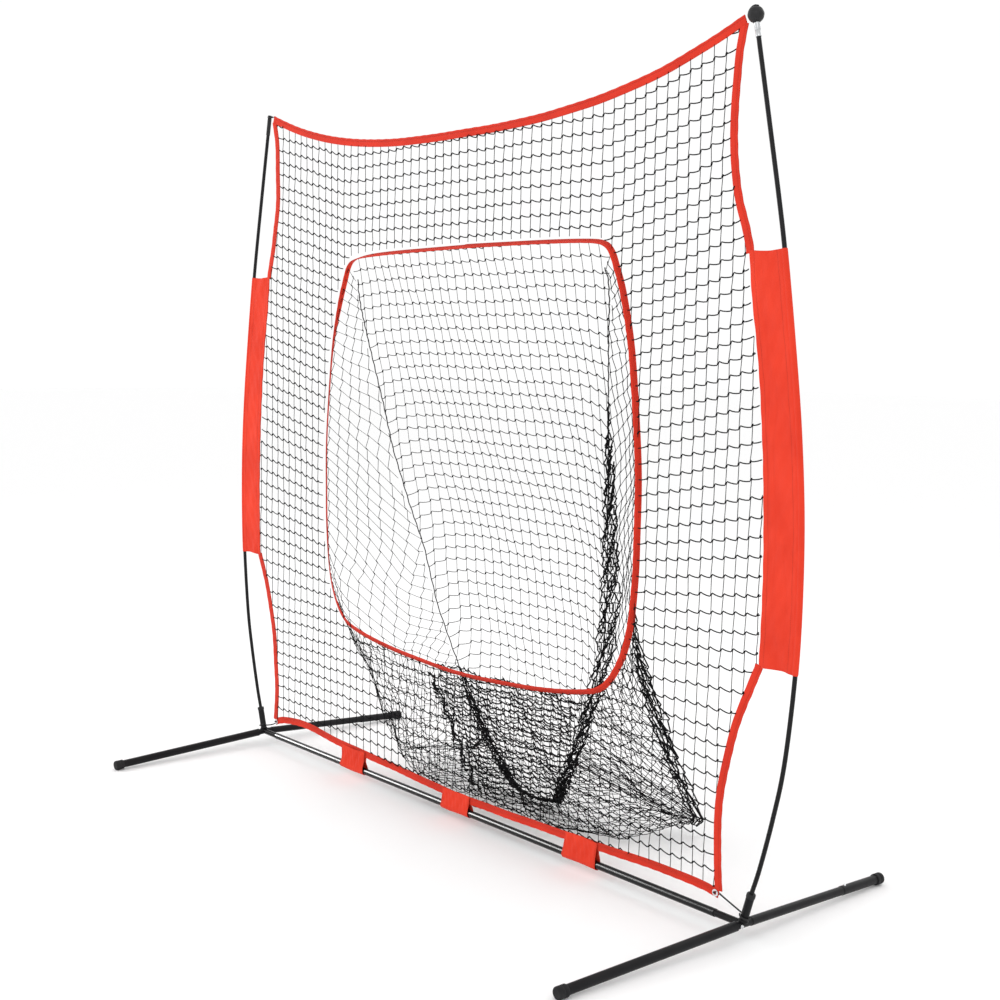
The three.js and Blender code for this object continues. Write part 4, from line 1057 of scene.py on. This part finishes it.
def make_strap(name, centre):
    """A strap that hangs in front of the bottom tape, goes under the crossbar and up behind it."""
    height = HUB[2]
    top = 0.087 if centre == 0 else 0.098
    r = CROSSBAR_R + 0.0022
    hang = 0.0034
    angle = np.linspace(np.radians(155), np.radians(385), 26)
    front = np.stack([np.linspace(-hang, -hang - 0.002, 12), np.linspace(top, height + 0.026, 12)], -1)
    under = np.stack([r * np.cos(angle), height + r * np.sin(angle)], -1)
    back = np.stack([np.linspace(hang + 0.002, hang, 12), np.linspace(height + 0.026, top - 0.004, 12)], -1)
    line = curve_through(np.concatenate([front[::3], under[::2], back[::3]]), 70)
    x = np.linspace(-0.5, 0.5, 30)
    s = np.linspace(0, 1, len(line))
    ss, xx = np.meshgrid(s, x, indexing="ij")
    waist = 1 - 0.05 * np.sin(np.pi * np.clip(ss / 0.42, 0, 1))
    waist -= 0.05 * np.sin(np.pi * np.clip((1 - ss) / 0.42, 0, 1))
    wrinkle = 0.0011 * np.sin(21 * xx + 14 * ss + centre * 9) + 0.0008 * np.sin(47 * xx - 20 * ss)
    wrinkle = wrinkle * np.clip(np.minimum(ss, 1 - ss) / 0.08, 0, 1)
    wrinkle = wrinkle * np.clip(np.abs(ss - 0.5) / 0.12 - 0.6, 0, 1)
    grid = np.stack([
        centre + STRAP_WIDE * xx * waist,
        line[:, None, 0] + wrinkle,
        line[:, None, 1] + 0.0015 * np.sin(6 * xx + 3 * centre) * (1 - ss),
    ], -1)
    girth = np.concatenate([[0], np.cumsum(np.linalg.norm(np.diff(line, axis=0), axis=1))])
    uv = np.stack(np.broadcast_arrays(girth[:, None], STRAP_WIDE * (x[None] + 0.5)), -1).reshape(-1, 2)
    piece = make_piece(name + "_cloth", grid.reshape(-1, 3), [grid_faces(*grid.shape[:2])], STRAP_CLOTH, uv)
    thicken(piece, 0.0014)
    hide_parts(name)
    return finish(piece)


# ---------------------------------------------------------------- frame
def paint_frame():
    """Materials for the CAD nodes that show."""
    paints = {
        "hub_tube": BLACK_STEEL, "foot_rear_tube": BLACK_STEEL, "crossbar_stub": GLOSS_STEEL,
        "foot_snap_button": BRIGHT, "crossbar_snap_button": BRIGHT, "hub_bolt": BRIGHT,
        "corner_grommet": BRIGHT,
    }
    for stem, material in paints.items():
        for side, _ in SIDES:
            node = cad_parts[f"{stem}_{side}"]
            node.data.materials.clear()
            node.data.materials.append(material)


def tube_profile(bore, radius, start, end):
    """A pipe's wall as a closed ring, its four corners broken."""
    c = 0.0005
    return [
        (start, bore + c), (start, radius - c), (start + c, radius), (end - c, radius), (end, radius - c),
        (end, bore + c), (end - c, bore), (start + c, bore),
    ]


def make_foot(side, sign):
    hub = mirrored(HUB, sign)
    ends = {"front": mirrored(FOOT_END * (1, -1, 1), sign), "rear": mirrored(FOOT_END, sign)}
    reach = float(np.linalg.norm(ends["rear"] - hub))
    for way, end in ends.items():
        direction = end - hub
        if way == "front":
            profile = tube_profile(0.0102, 0.012, 0.022, reach)
            piece = turned("front_leg_" + side, hub, direction, profile, BLACK_STEEL)
            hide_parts("foot_front_tube_" + side)
        else:
            profile = tube_profile(0.0114, 0.012, 0.392, reach)
            piece = turned("rear_leg_end_" + side, hub, direction, profile, BLACK_STEEL)
            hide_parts("foot_rear_extension_" + side)
        finish(piece)
        cap = turned(f"{way}_cap_{side}", end, direction, [
            (0.0004, 0), (0.0004, 0.0124), (-0.020, 0.0124), (-0.0204, 0.0128), (-0.0204, 0.0138),
            (-0.0196, 0.0146), (-0.0185, 0.0148), (-0.010, 0.0148), (-0.0092, 0.0144), (-0.0084, 0.0148),
            (-0.0020, 0.0150), (0.0025, 0.0150), (0.0045, 0.0145), (0.0058, 0.0134), (0.0064, 0.0120),
            (0.0066, 0.0090), (0.0062, 0.0085), (0.0062, 0),
        ], RUBBER)
        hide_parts(f"foot_{way}_cap_{side}")
        finish(cap)


def make_socket(side, sign):
    up = np.array([sign * np.sin(SOCKET_TILT), 0, np.cos(SOCKET_TILT)])
    hub = mirrored(HUB, sign)
    socket = turned("pole_cup_" + side, hub, up, tube_profile(0.0063, 0.010, 0.0085, 0.072), BLACK_STEEL)
    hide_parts("pole_socket_" + side)
    finish(socket)
    weld = turned("socket_weld_" + side, hub, up, [
        (0.0070, 0.0102), (0.0080, 0.0118), (0.0100, 0.0122), (0.0118, 0.0112), (0.0128, 0.0101),
    ], BLACK_STEEL, sharp=80)
    finish(weld)
    collar = turned("cup_collar_" + side, hub, up, [
        (0.0723, 0.0059), (0.0723, 0.0102), (0.0738, 0.0110), (0.0765, 0.0110), (0.0770, 0.0106),
        (0.0775, 0.0110), (0.0815, 0.0110), (0.0832, 0.0100), (0.0840, 0.0085), (0.0840, 0.0062),
        (0.0835, 0.0059),
    ], PLASTIC)
    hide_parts("socket_collar_" + side)
    finish(collar)
    path = mirrored(curve_through(pole_points(), 120), sign)
    pole = bar("pole_rod_" + side, path, POLE_R, (0.0, 1.0, 0.0), FIBRE)
    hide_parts("bow_pole_" + side)
    finish(pole)


def make_crossbar():
    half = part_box("crossbar")[1].x
    profile = tube_profile(0.0092, CROSSBAR_R, 0, 2 * half)
    piece = turned("cross_tube", (-half, 0, HUB[2]), (1, 0, 0), profile, GLOSS_STEEL)
    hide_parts("crossbar")
    finish(piece)
    tube_light([piece])


def make_pole_tops():
    axis = unit(BALL - POLE_TOP)
    reach = float(np.linalg.norm(BALL - POLE_TOP))
    ferrule = turned("ferrule_ring", POLE_TOP, axis, [
        (-0.0140, 0.0058), (-0.0140, 0.0064), (-0.0135, 0.0068), (0.0, 0.0068), (0.0006, 0.0064),
        (0.0012, 0.0068), (reach - 0.0190, 0.0068), (reach - 0.0184, 0.0060), (reach - 0.0184, 0.0058),
    ], FERRULE)
    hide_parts("pole_ferrule_right")
    finish(ferrule)
    angle = np.linspace(-1.1, np.pi / 2, 22)[:-1]
    outline = [(reach - 0.0183, 0), (reach - 0.0183, 0.0082), (reach - 0.0172, 0.0086)]
    ridge = 1 + 0.012 * np.cos(angle * 9)
    outline += list(zip(reach + BALL_R * np.sin(angle) * 0.999, BALL_R * np.cos(angle) * ridge * 0.985))
    outline.append((reach + BALL_R, 0))
    ball = turned("pole_ball", POLE_TOP, axis, outline, PLASTIC, sides=48, sharp=60)
    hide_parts("pole_ball_right")
    finish(ball)
    top, end = mirrored(POLE_TOP, -1), mirrored(TIP_TOP, -1)
    high = float(np.linalg.norm(end - top))
    tip = turned("pole_tip", top, end - top, [
        (-0.016, 0.0059), (-0.016, 0.0062), (-0.0155, 0.0065), (high - 0.009, 0.0065), (high - 0.008, 0.0052),
        (high - 0.0045, 0.0050), (high - 0.0035, 0.0065), (high - 0.0015, 0.0065), (high - 0.0003, 0.0052),
        (high, 0.0030), (high, 0.0005), (0.0006, 0.0005), (0.0006, 0.0059),
    ], PLASTIC)
    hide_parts("pole_tip_left")
    finish(tip)


# ---------------------------------------------------------------- cords
def cord_piece(name, points, radius, node, material=None):
    """A cord as a round curve through its route."""
    line = curve_through(points, 90)
    data = bpy.data.curves.new(name, "CURVE")
    data.dimensions = "3D"
    data.bevel_depth = radius
    data.bevel_resolution = 3
    data.use_fill_caps = True
    spline = data.splines.new("POLY")
    spline.points.add(len(line) - 1)
    spline.points.foreach_set("co", np.concatenate([line, np.ones((len(line), 1))], 1).ravel())
    piece = bpy.data.objects.new(name, data)
    bpy.context.scene.collection.objects.link(piece)
    data.materials.append(material or CORD_BRAID)
    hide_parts(node)
    return finish(piece)


def braid_on_object():
    """The braid of a cord made as a curve, which has no lengths of its own to follow."""
    material, tree, shader = new_material("cord_braid")
    at = object_coordinates(tree)
    weave = add_node(tree, "ShaderNodeTexVoronoi", {"Vector": at, "Scale": 900.0}).outputs["Distance"]
    shade = shade_between(tree, weave, (0.004, 0.004, 0.005), (0.024, 0.024, 0.025))
    tree.links.new(shade, shader.inputs["Base Color"])
    tree.links.new(bump(tree, weave, 0.5, 0.0003), shader.inputs["Normal"])
    shader.inputs["Roughness"].default_value = 0.78
    return material


CORD_BRAID = braid_on_object()


def tie_route():
    gx, gz = GROMMET
    points = [
        (gx, -0.009, gz + 0.003), (gx, -0.004, gz), (gx, 0.004, gz - 0.0005),
        (gx + 0.005, 0.0075, gz - 0.003),
        (gx + 0.016, 0.0085, gz - 0.008), (gx + 0.050, 0.011, gz - 0.022),
    ]
    up = np.array([np.sin(SOCKET_TILT), 0, np.cos(SOCKET_TILT)])
    across = np.array([np.cos(SOCKET_TILT), 0, -np.sin(SOCKET_TILT)])
    k = np.arange(12)[:, None]
    a = np.pi * (0.75 - 1.6 * k / 11)
    wrap = HUB + up * (0.0175 + 0.0052 * k / 11) + across * 0.0126 * np.cos(a)
    wrap = wrap + np.array([0, 1.0, 0]) * 0.0126 * np.sin(a)
    return np.concatenate([points, wrap])


def right_loop_route():
    r = BALL_R + 0.0006
    corner = np.array([CORNER_TOP[0] + 0.0085, 0, CORNER_TOP[1] + 0.003])

    def arc(start, end, y):
        a = np.linspace(start, end, 8)
        return np.stack([BALL[0] + r * np.cos(a), np.full(8, y), BALL[2] + r * np.sin(a)], -1)

    crown = BALL + r * np.array([np.cos(1.25), 0, np.sin(1.25)])
    return np.concatenate([
        [corner - (0, 0.0022, 0)], arc(2.75, 1.45, -0.004), [crown], arc(1.45, 2.75, 0.004),
        [corner + (0, 0.0022, 0)],
    ])


def left_loop_route():
    axis = unit(TIP_TOP - POLE_TOP)
    neck = POLE_TOP + axis * (np.linalg.norm(TIP_TOP - POLE_TOP) - 0.0062)
    across = np.array([axis[2], 0, -axis[0]])
    a = np.linspace(-2.1, 2.1, 11)[:, None]
    ring = neck + across * 0.007 * np.cos(a) + np.array([0, 1.0, 0]) * 0.007 * np.sin(a)
    start = np.array([CORNER_TOP[0] + 0.0035, -0.0032, CORNER_TOP[1] + 0.009])
    return mirrored(np.concatenate([[start], ring, [start * (1, -1, 1)]]), -1)


def make_cords():
    for side, sign in SIDES:
        cord_piece("corner_tie_" + side, mirrored(tie_route(), sign), CORD_R, "tie_cord_" + side)
    cord_piece("ball_loop", right_loop_route(), LOOP_R, "corner_loop_right")
    cord_piece("tip_loop", left_loop_route(), LOOP_R, "corner_loop_left")


# ---------------------------------------------------------------- scene
aim_camera()
make_cords()
light_studio()
paint_frame()
make_crossbar()
for side_name, side_sign in SIDES:
    make_foot(side_name, side_sign)
    make_socket(side_name, side_sign)
    make_sleeve(side_name, side_sign)
make_pole_tops()
make_tapes()
for strap, strap_x in (("strap_left", -STRAP_X), ("strap_middle", 0.0), ("strap_right", STRAP_X)):
    make_strap(strap, strap_x)
make_panel()
make_pocket()

studio_floor = make_piece(
    "studio_floor",
    np.array([(-40, -40, -0.0005), (40, -40, -0.0005), (40, 40, -0.0005), (-40, 40, -0.0005)], float),
    [np.array([[0, 1, 2, 3]])], floor_paint(), smooth=False)
